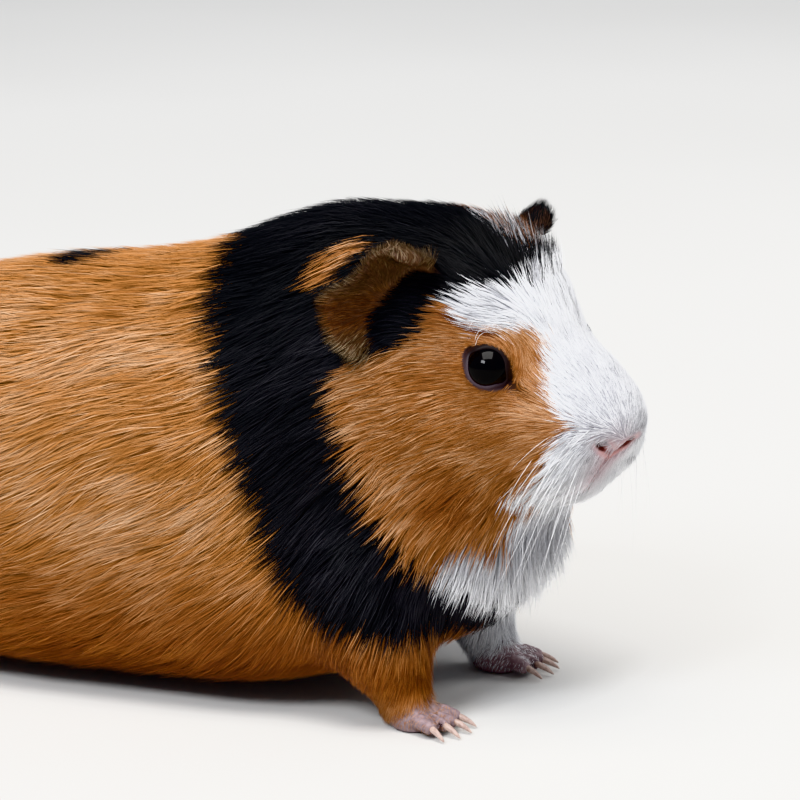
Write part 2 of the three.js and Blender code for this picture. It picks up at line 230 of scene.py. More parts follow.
def markings(points, ragged=0.0):
    """How black and how white the coat is at each point, from 0 to 1. ragged is in millimetres."""
    straight, _ = straightened(points)
    place = places(points)
    left = straight[:, 1] > 0
    wobble = EDGE_WOBBLE["by"] * (1 - CALM_HEAD["by"] * smoothstep(*CALM_HEAD["over"], place[:, 0]))
    edge = wobble * waves(points, EDGE_WOBBLE["size"], 1) + ragged
    leftward = smoothstep(*HOOD_ON_LEFT["over"], straight[:, 1])
    hood = depth_inside(BLACK_HOOD, place + np.outer(leftward, HOOD_ON_LEFT["by"])) + edge
    patch = within_mass(SPINE_PATCH, place) * SPINE_PATCH["depth"] + edge
    blaze = depth_inside(WHITE_BLAZE, place) + edge
    throat = within_mass(WHITE_THROAT, place) * WHITE_THROAT["depth"]
    cheek = np.minimum(depth_inside(GINGER_CHEEK, place), -throat) - edge
    tuft = EAR_TUFT["radius"] - from_line(place, EAR_TUFT["ends"]) + edge * EAR_TUFT["wobble"]
    left_front = left & (place[:, 0] > WHITE_FOOT["ahead_of"])
    white_foot = np.where(left_front, WHITE_FOOT["below"] - place[:, 2], NOWHERE)
    black = covered(np.maximum(hood, patch))
    white = covered(np.maximum(blaze, white_foot))
    ginger = covered(np.maximum(cheek, np.where(left, NOWHERE, tuft)))
    white = white * (1 - ginger)
    return black * (1 - white) * (1 - ginger), white


# ---------------------------------------------------------------- the lie of the coat

# Guide hairs: where one grows, which way it points, both forward, out and up, and its length in millimetres.
GUIDE_HAIRS = [
    # nose and brow
    ((28, 3, -10), (-0.2, 0.05, 1), 1.6),
    ((25, 4, -4), (-0.6, 0.05, 0.8), 2.4),
    ((18, 2, 2), (-0.7, 0, 0.65), 3.6),
    ((8, 5, 12), (-0.5, 0, 0.85), 6),
    ((4, 6, 16), (-0.5, 0.05, 0.85), 7.5),
    ((3, 1, 19), (-0.35, 0, 0.95), 7.5),
    ((-1, 10, 15), (-0.9, 0.2, 0.4), 7),
    ((-6, 13, 13.5), (-0.97, 0.1, 0.25), 7),
    ((0, 15, 10), (-0.85, 0.5, 0.1), 6),
    ((3, 14, 7), (-0.8, 0.6, 0), 4),
    ((13, 12, -6), (-0.85, 0.2, 0.45), 3.6),
    ((7, 12, 2), (-0.5, 0.1, 0.85), 3),
    ((21, 9, -8), (-0.7, 0.1, 0.7), 2.4),
    # lips, chin and throat
    ((21, 10, -12), (-0.8, 0.35, -0.4), 3),
    ((18, 13, -13), (-0.7, 0.3, -0.6), 5),
    ((22, 9, -20), (-0.45, 0.1, -0.9), 4),
    ((27, 2, -19), (-0.2, 0.1, -1), 1.8),
    ((17, 12, -18), (-0.6, 0.15, -0.8), 7),
    ((13, 13, -20), (-0.6, 0.15, -0.8), 8),
    ((10, 13, -27), (-0.6, 0, -0.8), 8),
    ((12, 3, -34), (-0.7, 0, -0.7), 5),
    ((7, 5, -42), (-0.3, 0, -0.95), 9),
    ((0, 15, -44), (-0.4, 0.05, -0.9), 11),
    # cheek
    ((13, 15, -14), (-0.9, 0.3, -0.2), 4.2),
    ((4, 18, -12), (-0.9, 0.25, -0.35), 4.5),
    ((-6, 23, -16), (-0.8, 0.2, -0.55), 7),
    ((-4, 20, -33), (-0.65, 0.2, -0.75), 9),
    ((-11, 22, -44), (-0.5, 0.15, -0.85), 11),
    ((-16, 22, 0), (-0.9, 0.25, -0.35), 6),
    ((-21, 25, -5), (-0.85, 0.25, -0.45), 8),
    # crown
    ((-10, 20, 9), (-0.95, 0.25, -0.05), 5),
    ((-10, 10, 24), (-0.9, 0.3, 0), 8),
    ((-4, 4, 22), (-0.4, 0.1, 0.9), 6.5),
    ((-12, 4, 25), (-0.75, 0.1, 0.6), 8),
    ((-22, 3, 27), (-1, 0.1, 0), 9),
    # neck and shoulders
    ((-38, 0, 25), (-1, 0, -0.1), 11),
    ((-41, 10, 24), (-0.85, 0.4, -0.3), 11),
    ((-32, 17, 18), (-0.65, 0.5, -0.6), 11),
    ((-36, 26, 6), (-0.8, 0.4, -0.45), 12),
    ((-40, 30, -2), (-0.75, 0.35, -0.55), 12),
    ((-44, 34, -18), (-0.8, 0.3, -0.55), 12),
    ((-27, 27, -28), (-0.7, 0.25, -0.65), 12),
    ((-41, 34, -41), (-0.65, 0.3, -0.65), 12),
    ((-15, 24, -40), (-0.55, 0.3, -0.75), 12),
    ((-30, 33, -48), (-0.45, 0.15, -0.9), 10),
    ((-16, 31, -51), (-0.3, 0.3, -0.9), 9),
    ((-5, 8, -55), (-0.4, 0, -0.9), 10),
    # trunk
    ((-54, 23, 11), (-0.9, 0.15, -0.35), 12),
    ((-64, 38, -16), (-0.9, 0.2, -0.35), 12),
    ((-73, 23, 7), (-0.97, 0.1, -0.25), 12),
    ((-80, 0, 17), (-1, 0, 0), 12),
    ((-81, 31, -3), (-0.9, 0.2, -0.35), 12),
    ((-89, 41, -26), (-0.9, 0.1, -0.45), 13),
    ((-70, 41, -43), (-0.9, 0.1, -0.45), 12),
    ((-84, 42, -58), (-0.95, 0.05, -0.3), 10),
    ((-53, 38, -54), (-0.75, 0.05, -0.65), 10),
    ((-102, 22, 4), (-0.98, 0.1, -0.2), 12),
    ((-60, 8, -74), (-1, 0.1, 0), 9),
    # rump and thighs
    ((-130, 0, 8), (-1, 0, -0.15), 12),
    ((-150, 38, -30), (-0.9, 0, -0.45), 12),
    ((-130, 42, -55), (-0.85, 0.05, -0.5), 10),
    ((-165, 25, -10), (-0.8, 0.1, -0.6), 12),
    ((-187, 0, -20), (-0.4, 0, -0.9), 12),
    ((-187, 15, -48), (-0.2, 0.1, -1), 10),
    ((-120, 10, -74), (-1, 0.1, 0), 9),
    # forelegs
    ((-12, 25, -64), (-0.2, 0.1, -1), 4.5),
    ((-26, 25, -62), (-0.4, 0.2, -0.9), 5),
]
GUIDE_PLACES = np.array([place for place, _, _ in GUIDE_HAIRS], float)
GUIDE_DIRECTIONS = unit(np.array([direction for _, direction, _ in GUIDE_HAIRS], float))
GUIDE_LENGTHS = np.array([length for _, _, length in GUIDE_HAIRS], float)
GUIDE_SPREAD = 5.0  # millimetres within which a guide hair rules
GUIDE_FADING = 2.2
PARTING = 6  # millimetres from the midline at which hairs lean fully to their own side


def combed(points):
    """The direction and the length in millimetres that the guide hairs give the coat at each point."""
    place = places(points)
    square = ((place[:, None, :] - GUIDE_PLACES[None]) ** 2).sum(2)
    weight = 1 / (square + GUIDE_SPREAD**2) ** GUIDE_FADING
    weight /= weight.sum(1, keepdims=True)
    direction = weight @ GUIDE_DIRECTIONS
    straight, share = straightened(points)
    direction[:, 1] *= np.clip(straight[:, 1] / PARTING, -1, 1)
    return turned(unit(direction), share), weight @ GUIDE_LENGTHS


# ---------------------------------------------------------------- meshes as arrays


def corners_of(mesh):
    co = np.empty(len(mesh.vertices) * 3, np.float32)
    mesh.vertices.foreach_get("co", co)
    return co.reshape(-1, 3).astype(float)


def edges_of(mesh):
    ends = np.empty(len(mesh.edges) * 2, np.int32)
    mesh.edges.foreach_get("vertices", ends)
    return ends.reshape(-1, 2)


def triangles_of(mesh):
    found = np.empty(len(mesh.polygons) * 3, np.int32)
    mesh.polygons.foreach_get("vertices", found)
    return found.reshape(-1, 3)


def normals_of(mesh):
    found = np.empty(len(mesh.vertices) * 3, np.float32)
    mesh.vertex_normals.foreach_get("vector", found)
    return found.reshape(-1, 3).astype(float)


def set_corners(mesh, co):
    mesh.vertices.foreach_set("co", co.astype(np.float32).ravel())
    mesh.update()


class Smoother:
    """Averages values over the neighbours in a mesh."""

    def __init__(self, mesh):
        ends = edges_of(mesh)
        self.count = len(mesh.vertices)
        self.to = np.concatenate((ends[:, 0], ends[:, 1]))
        self.of = np.concatenate((ends[:, 1], ends[:, 0]))
        self.valence = np.maximum(np.bincount(self.to, minlength=self.count), 1)

    def mean(self, values):
        columns = [np.bincount(self.to, values[self.of, i], self.count) for i in range(values.shape[1])]
        return np.column_stack(columns) / self.valence[:, None]

    def run(self, values, rounds, strength):
        """strength is a number, or one for each vertex, from 0 to 1."""
        flat = values.ndim == 1
        values = values.reshape(self.count, -1)
        strength = np.broadcast_to(np.asarray(strength, float), (self.count,))[:, None]
        for _ in range(rounds):
            values = values + (self.mean(values) - values) * strength
        return values.ravel() if flat else values


def add_attribute(mesh, name, values):
    attribute = mesh.attributes.new(name, "FLOAT", "POINT")
    attribute.data.foreach_set("value", np.asarray(values, np.float32))


def attribute_of(mesh, name):
    values = np.empty(len(mesh.vertices), np.float32)
    mesh.attributes[name].data.foreach_get("value", values)
    return values


def link(name, mesh):
    made = bpy.data.objects.new(name, mesh)
    bpy.context.scene.collection.objects.link(made)
    return made


def finish_piece(piece, material):
    piece.data.materials.clear()
    piece.data.materials.append(material)
    piece.data.shade_smooth()
    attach(piece, BODY)
    return piece


# ---------------------------------------------------------------- skin

SEAM = 0.25 * MM  # each part is fattened by this, so that the thin gaps between the parts close
VOXEL = 1.15 * MM
LID_THICKNESS = 0.55 * MM
FOOT_SKIN = 0.2 * MM  # how far the skin of the feet lies inside their flesh
# How deep the coat is over each part, in millimetres, and how strongly its skin is smoothed, from 0 to 1.
SKIN_OF_PARTS = {
    "rump": (2.4, 1.0),
    "trunk": (2.4, 1.0),
    "shoulders": (2.4, 1.0),
    "neck": (2.3, 1.0),
    "head": (1.2, 0.5),
    "muzzle": (0.8, 0.2),
    "chin": (0.9, 0.2),
    "ear": (0.3, 0.12),
    "foreleg": (1.1, 0.7),
    "hindleg": (2.0, 1.0),
    "forefoot": (0.3, 0.12),
    "hindfoot": (0.3, 0.15),
}
SMOOTHING_ROUNDS = 46
INWARD_STEPS = 4  # in which the skin is drawn in by the coat's depth
# How near the eyes and the nose, in millimetres, the skin's mesh is made finer, one round after the other.
FINER_REACHES = ({"eye": 9.5, "nose": 11, "feet": True}, {"eye": 7.5, "nose": 8, "feet": False})
SMOOTHED_FACE = {"eye": 9, "nose": 10}
EAR_MARGIN = (0.12, 0.35)  # how sharply the skin bends where the rim of an ear begins and where it is full


def part_named(node):
    return node.rsplit("_", 1)[0] if node.endswith(tuple(SIDES)) else node


def fattened_flesh():
    """All parts of flesh in one mesh that overlap a little, with the name of each face's part."""
    shell = bmesh.new()
    face_parts = []
    for name in FLESH_NODES:
        part = bmesh.new()
        part.from_mesh(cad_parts[name].data)
        bmesh.ops.remove_doubles(part, verts=part.verts, dist=1e-6)
        part.normal_update()
        for vert in part.verts:
            vert.co += vert.normal * SEAM
        copied = bpy.data.meshes.new("part")
        part.to_mesh(copied)
        face_parts += [part_named(name)] * len(part.faces)
        part.free()
        shell.from_mesh(copied)
        bpy.data.meshes.remove(copied)
    for eye in EYES.values():
        before = len(shell.faces)
        bmesh.ops.create_icosphere(
            shell, subdivisions=3, radius=EYE_RADIUS + LID_THICKNESS, matrix=Matrix.Translation(eye)
        )
        face_parts += ["head"] * (len(shell.faces) - before)
    return shell, face_parts


def remeshed(shell):
    """One closed skin round the overlapping parts."""
    mesh = bpy.data.meshes.new("skin")
    shell.to_mesh(mesh)
    rough = link("rough_skin", mesh)
    remesh = rough.modifiers.new("one skin", "REMESH")
    remesh.mode = "VOXEL"
    remesh.voxel_size = VOXEL
    remesh.adaptivity = 0
    evaluated = rough.evaluated_get(bpy.context.evaluated_depsgraph_get())
    skin = bpy.data.meshes.new_from_object(evaluated)
    bpy.data.objects.remove(rough)
    bpy.data.meshes.remove(mesh)
    return skin


def refine(mesh, near):
    """Cuts the edges of the mesh in two where near(points) says so."""
    work = bmesh.new()
    work.from_mesh(mesh)
    co = corners_of(mesh)
    ends = edges_of(mesh)
    chosen = near((co[ends[:, 0]] + co[ends[:, 1]]) / 2)
    work.edges.ensure_lookup_table()
    picked = [work.edges[i] for i in np.flatnonzero(chosen)]
    bmesh.ops.subdivide_edges(work, edges=picked, cuts=1, use_grid_fill=True)
    work.to_mesh(mesh)
    work.free()


def near_eyes(points, reach):
    return np.min([np.linalg.norm(points - eye, axis=1) for eye in EYES.values()], axis=0) < reach


def near_nose(points, reach):
    return np.linalg.norm(points - NOSE, axis=1) < reach


def near_feet(points):
    boxes = [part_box(name) for name in FLESH_NODES if "foot" in name]
    inside = [(points > np.array(low) - MM) & (points < np.array(high) + MM) for low, high in boxes]
    return np.any([of_box.all(1) for of_box in inside], axis=0)


def on_feet(mesh, points):
    return (attribute_of(mesh, "bareness") > 0.3) & (points[:, 2] < BROW[2] / 2)


NOSE = on_head((25, -1, -15))
NOSE_ASIDE = 4.1  # how far the nose is carried to the animal's right
NOSTRIL = np.array((2.7, -14.4))  # out from the middle of the nose, and up
NOSTRIL_SLOPE = unit(np.array((0.84, 0.545)))
NOSTRIL_HALVES = (1.75, 0.85)  # its length and width
NOSE_CREASE = ((2.2, -14.9), (0.3, -16.3), (0, -17), (0, -27))  # from a nostril to the lips and down them
MOUTH = {"corner": (10, -30), "fall": 0.466, "half": 8.5}  # its line seen from the side, and half its width
AHEAD_OF = {"nostril": 14, "crease": 16, "mouth": 8}  # each lies further forward than this
# How wide and how deep each is pressed in.
NOSTRIL_GROOVE = (0.85, 2.0)
CREASE_GROOVE = (0.5, 0.8)
MOUTH_GROOVE = (0.9, 1.6)
EAR_CANAL = (-17.4, 20, 9.5)

# An eye looks out to the side, a little forwards and upwards. Its lids meet in corners before and behind.
GAZE = (0.58, 1.0, 0.25)
LID_SLOPE = math.radians(27)
LID_HALF_WIDTH = 3.4
LID_HALF_HEIGHT = 3.6
BARE_LIDS = (5.0, 4.5)  # how far from the eye's axis the lids are bare, along the opening and across it
LID_CORNER = {"front": 0.9, "rear": 0.6, "spread": 0.36}
BARE_CORNER = {"by": 0.12, "spread": 0.4}  # the bare lids reach a little further in the eye's corners
# A lid from its edge outwards, each place as a share of the opening.
LID_EDGE = (0.93, 1.07)
LID_SWELLING = {"at": 1.13, "width": 0.08, "height": 0.05 * MM}
LID_FOLD = {"at": 1.6, "width": 0.1, "height": 0.2 * MM}
LID_ENDS = (1.1, 1.6)
LIDS_REACH = {"share": 2.4, "distance": 13 * MM}
LID_DEPTHS = {"edge": -0.9 * MM, "rim": LID_THICKNESS * 0.6, "outside": 0.3 * MM}  # over the eyeball
EYE_SUNK = {"right": 0.0, "left": 1.5 * MM}  # the left eye is drawn in a little more


class EyeSocket:
    """The directions and the lid opening of the eye on one side."""

    def __init__(self, side):
        sign = SIDES[side]
        self.centre = EYES[side] - HEAD_LEFT * sign * EYE_SUNK[side]
        self.gaze = unit(on_head(GAZE, sign) - BROW)
        forward = unit(on_head((math.cos(LID_SLOPE), 0, -math.sin(LID_SLOPE))) - BROW)
        self.forward = unit(forward - self.gaze * along(forward, self.gaze))
        across = np.cross(self.gaze, self.forward)
        self.upward = across * np.sign(across[2])

    def edge_of_bare(self, points):
        """0 on the eye's axis, 1 where the hair begins round the lids and more outside."""
        offset = (points - self.centre) / MM
        ahead = along(offset, self.forward)
        above = along(offset, self.upward)
        share = np.hypot(ahead / BARE_LIDS[0], above / BARE_LIDS[1])
        corner = np.exp(-((np.arctan2(above, np.abs(ahead)) / BARE_CORNER["spread"]) ** 2))
        return np.where(along(offset, self.gaze) < 0, FAR, share * (1 - BARE_CORNER["by"] * corner))

    def opening(self, points):
        """0 on the eye's axis, 1 on the lids' edge and more outside; large behind the eye."""
        offset = (points - self.centre) / MM
        direction = unit(offset)
        ball = EYE_RADIUS / MM
        ahead = along(direction, self.forward) * ball
        above = along(direction, self.upward) * ball
        turn = np.arctan2(above, ahead)
        edge = 1 / np.sqrt((np.cos(turn) / LID_HALF_WIDTH) ** 2 + (np.sin(turn) / LID_HALF_HEIGHT) ** 2)
        edge += LID_CORNER["front"] * np.exp(-((turn / LID_CORNER["spread"]) ** 2))
        edge += LID_CORNER["rear"] * np.exp(-(((math.pi - np.abs(turn)) / LID_CORNER["spread"]) ** 2))
        share = np.hypot(ahead, above) / edge
        return np.where(along(direction, self.gaze) < 0, FAR, share)


SOCKETS = {side: EyeSocket(side) for side in SIDES}


def ridge(shape, share):
    return shape["height"] * np.exp(-(((share - shape["at"]) / shape["width"]) ** 2))


def shape_lids(co):
    """Opens the lids over each eyeball, with a rounded rim and a fold round it."""
    for socket in SOCKETS.values():
        offset = co - socket.centre
        distance = np.linalg.norm(offset, axis=1)
        share = socket.opening(co)
        inner = EYE_RADIUS + LID_DEPTHS["edge"]
        rim = EYE_RADIUS + LID_DEPTHS["rim"]
        lid = inner + (rim - inner) * smoothstep(*LID_EDGE, share)
        lid += ridge(LID_SWELLING, share)
        settled = np.maximum(distance, EYE_RADIUS + LID_DEPTHS["outside"]) - ridge(LID_FOLD, share)
        radius = lid + (settled - lid) * smoothstep(*LID_ENDS, share)
        moved = socket.centre + offset / distance[:, None] * radius[:, None]
        near = (distance < LIDS_REACH["distance"]) & (share < LIDS_REACH["share"])
        co = np.where(near[:, None], moved, co)
    return co


def groove(co, normals, distance, width, depth):
    """Presses the surface in along a line, by depth at the line, fading over width, in millimetres."""
    pressed = depth * MM * np.exp(-((distance / width) ** 2))
    return co - normals * pressed[:, None]


def nose_places(points):
    """Millimetres forward, out from the middle of the nose, and up."""
    straight, _ = straightened(points)
    return np.column_stack((straight[:, 0], np.abs(straight[:, 1] + NOSE_ASIDE), straight[:, 2]))


def from_nostril(points):
    """0 at the middle of a nostril, 1 at its rim and more outside."""
    place = nose_places(points)
    offset = place[:, 1:] - NOSTRIL
    lengthwise = offset @ NOSTRIL_SLOPE
    across = offset @ np.array((-NOSTRIL_SLOPE[1], NOSTRIL_SLOPE[0]))
    share = np.hypot(lengthwise / NOSTRIL_HALVES[0], across / NOSTRIL_HALVES[1])
    return np.where(place[:, 0] > AHEAD_OF["nostril"], share, FAR)


def from_nose_crease(points):
    """Millimetres from the crease that joins the nostrils to the cleft of the lips."""
    place = nose_places(points)
    return np.where(place[:, 0] > AHEAD_OF["crease"], from_line(place[:, 1:], NOSE_CREASE), FAR)


def shape_nose(co, normals):
    """Presses in the nostrils, the crease under them and the mouth."""
    place = nose_places(co)
    co = groove(co, normals, from_nostril(co), *NOSTRIL_GROOVE)
    co = groove(co, normals, from_nose_crease(co), *CREASE_GROOVE)
    from_mouth = (place[:, 2] - MOUTH["corner"][1]) + (place[:, 0] - MOUTH["corner"][0]) * MOUTH["fall"]
    in_reach = (place[:, 0] > AHEAD_OF["mouth"]) & (place[:, 1] < MOUTH["half"])
    return groove(co, normals, np.where(in_reach, np.abs(from_mouth), FAR), *MOUTH_GROOVE)


TOE_CLEFT = {"depth": 1.1 * MM, "width": 0.55, "back": (-9, -3), "front": (8, 5)}


def fit_feet(co, feet, tree):
    """Brings the skin of the feet back out to their flesh."""
    inset = SEAM + FOOT_SKIN
    for row in np.flatnonzero(feet > 0.02):
        spot, normal, _, _ = tree.find_nearest(Vector(co[row]))
        settled = np.array(spot) - np.array(normal) * inset
        co[row] += (settled - co[row]) * min(feet[row] * 1.5, 1)
    return co


def part_toes(co, feet, normals):
    """Presses in the skin of the feet between one claw and the next."""
    for foot, claw in (("forefoot", "foreclaw"), ("hindfoot", "hindclaw")):
        for side in SIDES:
            tips = [middle_of(name) for name in BARE_NODES if name.startswith(f"{claw}_{side}")]
            middle = middle_of(f"{foot}_{side}")
            tips.sort(key=lambda tip: tip[1])
            for first, second in zip(tips, tips[1:]):
                cleft = (first + second) / 2
                heading = unit((cleft - middle)[:2])
                offset = (co - cleft)[:, :2]
                aside = np.abs(offset[:, 0] * heading[1] - offset[:, 1] * heading[0]) / MM
                ahead = offset @ heading / MM
                depth = between(ahead, TOE_CLEFT["back"], TOE_CLEFT["front"]) * feet
                pressed = TOE_CLEFT["depth"] * depth * np.exp(-((aside / TOE_CLEFT["width"]) ** 2))
                co = co - normals * pressed[:, None]
    return co


def shape_feet(mesh, co, tree):
    feet = Smoother(mesh).run(on_feet(mesh, co).astype(float), 3, 0.6) * near_feet(co)
    co = fit_feet(co, feet, tree)
    set_corners(mesh, co)
    return part_toes(co, feet, normals_of(mesh))


def drawn_in(mesh, nearest):
    """The corners of the skin, smoothed and drawn in by the depth of the coat on the nearest part."""
    smoother = Smoother(mesh)
    facts = smoother.run(np.array([SKIN_OF_PARTS[name] for name in nearest]), 4, 0.6)
    co = smoother.run(corners_of(mesh), SMOOTHING_ROUNDS, 0.6 * facts[:, 1] ** 2)
    co = smoother.run(co, 2, 0.5)
    depth = smoother.run(facts[:, 0], 14, 0.7)
    for _ in range(INWARD_STEPS):
        set_corners(mesh, co)
        co = co - normals_of(mesh) * (depth * MM / INWARD_STEPS)[:, None]
        co = smoother.run(co, 2, 0.5 * facts[:, 1])
    return co


def build_skin():
    shell, face_parts = fattened_flesh()
    shell.verts.ensure_lookup_table()
    tree = BVHTree.FromBMesh(shell)
    mesh = remeshed(shell)
    shell.free()

    nearest = np.array([face_parts[tree.find_nearest(point)[2]] for point in corners_of(mesh)])
    set_corners(mesh, drawn_in(mesh, nearest))
    for label, names in (("bareness", ("ear", "forefoot", "hindfoot")), ("on_ear", ("ear",))):
        add_attribute(mesh, label, Smoother(mesh).run(np.isin(nearest, names).astype(float), 2, 0.6))

    for finer in FINER_REACHES:
        refine(
            mesh,
            lambda points: near_eyes(points, finer["eye"] * MM)
            | near_nose(points, finer["nose"] * MM)
            | (near_feet(points) & finer["feet"]),
        )
        co = corners_of(mesh)
        if finer["feet"]:
            co = shape_feet(mesh, co, tree)
        face = near_eyes(co, SMOOTHED_FACE["eye"] * MM) | near_nose(co, SMOOTHED_FACE["nose"] * MM)
        co = Smoother(mesh).run(co, 4, 0.4 * face)
        set_corners(mesh, co)
    co = shape_nose(co, normals_of(mesh))
    co = shape_lids(co)
    set_corners(mesh, co)
    sharpness = 1 - np.linalg.norm(Smoother(mesh).run(normals_of(mesh), 4, 0.8), axis=1)
    add_attribute(mesh, "margin", smoothstep(*EAR_MARGIN, sharpness) * attribute_of(mesh, "on_ear"))

    work = bmesh.new()
    work.from_mesh(mesh)
    bmesh.ops.triangulate(work, faces=work.faces)
    work.to_mesh(mesh)
    work.free()
    mesh.update()
    return mesh


def unwrap(piece):
    """Unwraps the skin on itself, in islands."""
    piece.data.uv_layers.new(name="OFBake")
    bpy.context.view_layer.objects.active = piece
    piece.select_set(True)
    bpy.ops.object.mode_set(mode="EDIT")
    bpy.ops.mesh.select_all(action="SELECT")
    bpy.ops.uv.smart_project(angle_limit=math.radians(66), island_margin=0.002)
    bpy.ops.object.mode_set(mode="OBJECT")
    piece.select_set(False)


# ---------------------------------------------------------------- coat


def template_tuft(ring_heights):
    """A closed three-sided spike from 0 to 1 along Z, with rings between its root and its tip."""
    spike = bmesh.new()
    middle = Matrix.Translation((0, 0, 0.5))
    bmesh.ops.create_cone(spike, cap_ends=True, segments=3, radius1=1, radius2=0, depth=1, matrix=middle)
    bmesh.ops.remove_doubles(spike, verts=spike.verts, dist=1e-5)
    for height in ring_heights:
        everything = spike.verts[:] + spike.edges[:] + spike.faces[:]
        bmesh.ops.bisect_plane(spike, geom=everything, plane_co=(0, 0, height), plane_no=(0, 0, 1))
    bmesh.ops.triangulate(spike, faces=spike.faces)
    bmesh.ops.recalc_face_normals(spike, faces=spike.faces)
    spike.verts.index_update()
    shape = np.array([vert.co for vert in spike.verts])
    faces = np.array([[vert.index for vert in face.verts] for face in spike.faces])
    spike.free()
    return shape, faces


STATIONS = (0.0, 0.45, 1.0)  # along a tuft: its root, its ring and its tip
STATION_WIDTHS = (0.6, 1.0, 0.0)
STATION_RISES = (-0.15, 0.62, 1.0)  # as shares of the tip's height over the skin
TUFTS = {"bent": template_tuft(STATIONS[1:2]), "straight": template_tuft(())}
SHORT = 5.0  # tufts shorter than this, in millimetres, are all straight spikes
BENT_SHARE = 0.25  # of the long tufts; the rest of them are straight spikes too
STRAIGHT_LENGTH = 0.8  # of a straight tuft's length, where a bent one has 1
FLATNESS = 0.4
SOFTNESS = 0.65  # how far a tuft takes its shading from the skin under it

LAYERS = 6.5  # how many tufts lie over each spot
MOST_DENSE = 13.5  # tufts to the square millimetre
# How unlike the tufts are, as shares of their length, width and rise.
LENGTHS = (0.75, 1.15)
WIDTHS = (0.7, 1.3)
RISES = (0.3, 1.0)
GUARD_HAIRS = {"share": 0.2, "length": 1.15, "width": 0.8, "rise": 0.15}  # bent tufts that lie over the rest
STRAY = {"each": 0.07, "groups": ((0.10, 0.006), (0.10, 0.018))}  # sideways, alone and over sizes in metres
ONWARD = 0.35  # how much of its own heading a tuft keeps where the coat's lie turns under it
LOCK = 16  # about how many long tufts gather into a lock
LOCK_PULLS = ((1, 0.12), (2, 0.4))  # how far a lock draws its tufts together at their rings and at their tips
LOCK_TONE = 0.4
FOLLICLE = {"radius": 0.32, "length": 1.5, "rise": 1.1}  # the dark speck at the root of a whisker
LIP_PAD = {"place": (14, 12, -18), "radii": (9, 8, 8), "loosens": (3, 0.9)}  # how soon, and how far at most
CHEEK_FRINGE = {"place": (-6, 16, -46), "radii": (12, 14, 8), "loosens": (2, 0.5)}
STANDING = [
    {"place": (2, 3, 18.5), "radii": (7, 9, 6), "by": 0.75},
    {"place": (-3, 5, 22), "radii": (8, 8, 6), "by": 0.5},
    {"place": (3, 6, -42), "radii": (8, 12, 13), "by": 0.42},
    {"place": (10, 12, -24), "radii": (8, 8, 7), "by": 0.16},
]
CLOSE = 0.15  # how loosely the rest of the coat follows the skin
EYE_PARTING = {"over": (5 * MM, 10 * MM), "upward": 0.6}  # round an eye no hair points in over it
CLEARANCE = 0.25 * MM  # of the coat over the floor
UV_PATCH = 0.003
MOST_TRIANGLES = 190_000
COAT_COLOURS = ("ginger", "black", "white")
GINGER_FUR, BLACK_FUR, WHITE_FUR = range(3)


class Skin:
    """The finished skin as arrays, for sampling it and for finding the nearest spot on it."""

    def __init__(self, mesh):
        self.co = corners_of(mesh)
        self.normals = normals_of(mesh)
        self.faces = triangles_of(mesh)
        uv = np.empty(len(mesh.loops) * 2, np.float32)
        mesh.uv_layers["OFBake"].data.foreach_get("uv", uv)
        self.uv = uv.reshape(-1, 3, 2)
        self.tree = BVHTree.FromPolygons(self.co.tolist(), self.faces.tolist())
        self.attributes = {}
        for name in ("bareness", "on_ear", "margin", "coat_depth", "coat_length", "coat_density"):
            self.attributes[name] = attribute_of(mesh, name)

    def sample(self, density, source):
        """Faces and corner shares of spots spread over the skin, with density to the square metre."""
        a, b, c = (self.co[self.faces[:, i]] for i in range(3))
        area = np.linalg.norm(np.cross(b - a, c - a), axis=1) / 2
        total = np.cumsum(area * density[self.faces].mean(1))
        marks = np.arange(int(total[-1])) + source.uniform()
        faces = np.searchsorted(total, marks)
        faces = faces[faces < len(area)]
        first, second = source.uniform(size=(2, len(faces)))
        swap = first + second > 1
        first, second = np.where(swap, 1 - first, first), np.where(swap, 1 - second, second)
        return faces, np.column_stack((1 - first - second, first, second))

    def nearest(self, points):
        """The nearest spot on the skin to each point, and the skin's smooth normal there."""
        find = self.tree.find_nearest
        spots = np.empty_like(points)
        faces = np.empty(len(points), int)
        for i, point in enumerate(points.tolist()):
            spot, _, face, _ = find(point)
            spots[i] = spot
            faces[i] = face
        a, b, c = (self.co[self.faces[faces, i]] for i in range(3))
        normal = self.normals[self.faces[faces]]
        shares = corner_shares(a, b, c, spots)
        return spots, unit((normal * shares[..., None]).sum(1))


def corner_shares(a, b, c, point):
    """How much of each corner of a triangle a point in it has."""
    normal = np.cross(b - a, c - a)
    square = np.maximum(along(normal, normal), 1e-30)
    of_b = along(np.cross(point - a, c - a), normal) / square
    of_c = along(np.cross(b - a, point - a), normal) / square
    shares = np.clip(np.column_stack((1 - of_b - of_c, of_b, of_c)), 0, 1)
    return shares / shares.sum(1, keepdims=True)


def lie_at(points, normals, on_ear, margin):
    """The way the coat lies at each point, flat against the skin there."""
    direction, _ = combed(points)
    left = straightened(points)[0][:, 1] > 0
    canal = np.where(left[:, None], on_head(EAR_CANAL, 1), on_head(EAR_CANAL, -1))
    from_canal = unit(points - canal)
    direction = unit(direction + (from_canal - direction) * on_ear[:, None])
    for socket in SOCKETS.values():
        offset = points - socket.centre
        away = unit(offset - socket.gaze * along(offset, socket.gaze)[:, None])
        close = 1 - smoothstep(*EYE_PARTING["over"], np.linalg.norm(offset, axis=1))
        inward = np.minimum(along(direction, away), 0) * close
        upward = EYE_PARTING["upward"] * inward * np.sign(along(offset, socket.upward))
        direction = direction - away * inward[:, None] - socket.upward * upward[:, None]
    return unit(flattened(direction, normals) * (1 - margin[:, None]) + from_canal * margin[:, None])


def standing(place):
    """How steeply the coat stands off the skin: the rise for each length along it."""
    return np.max([np.clip(within_mass(mass, place) * 2, 0, 1) * mass["by"] for mass in STANDING], axis=0)


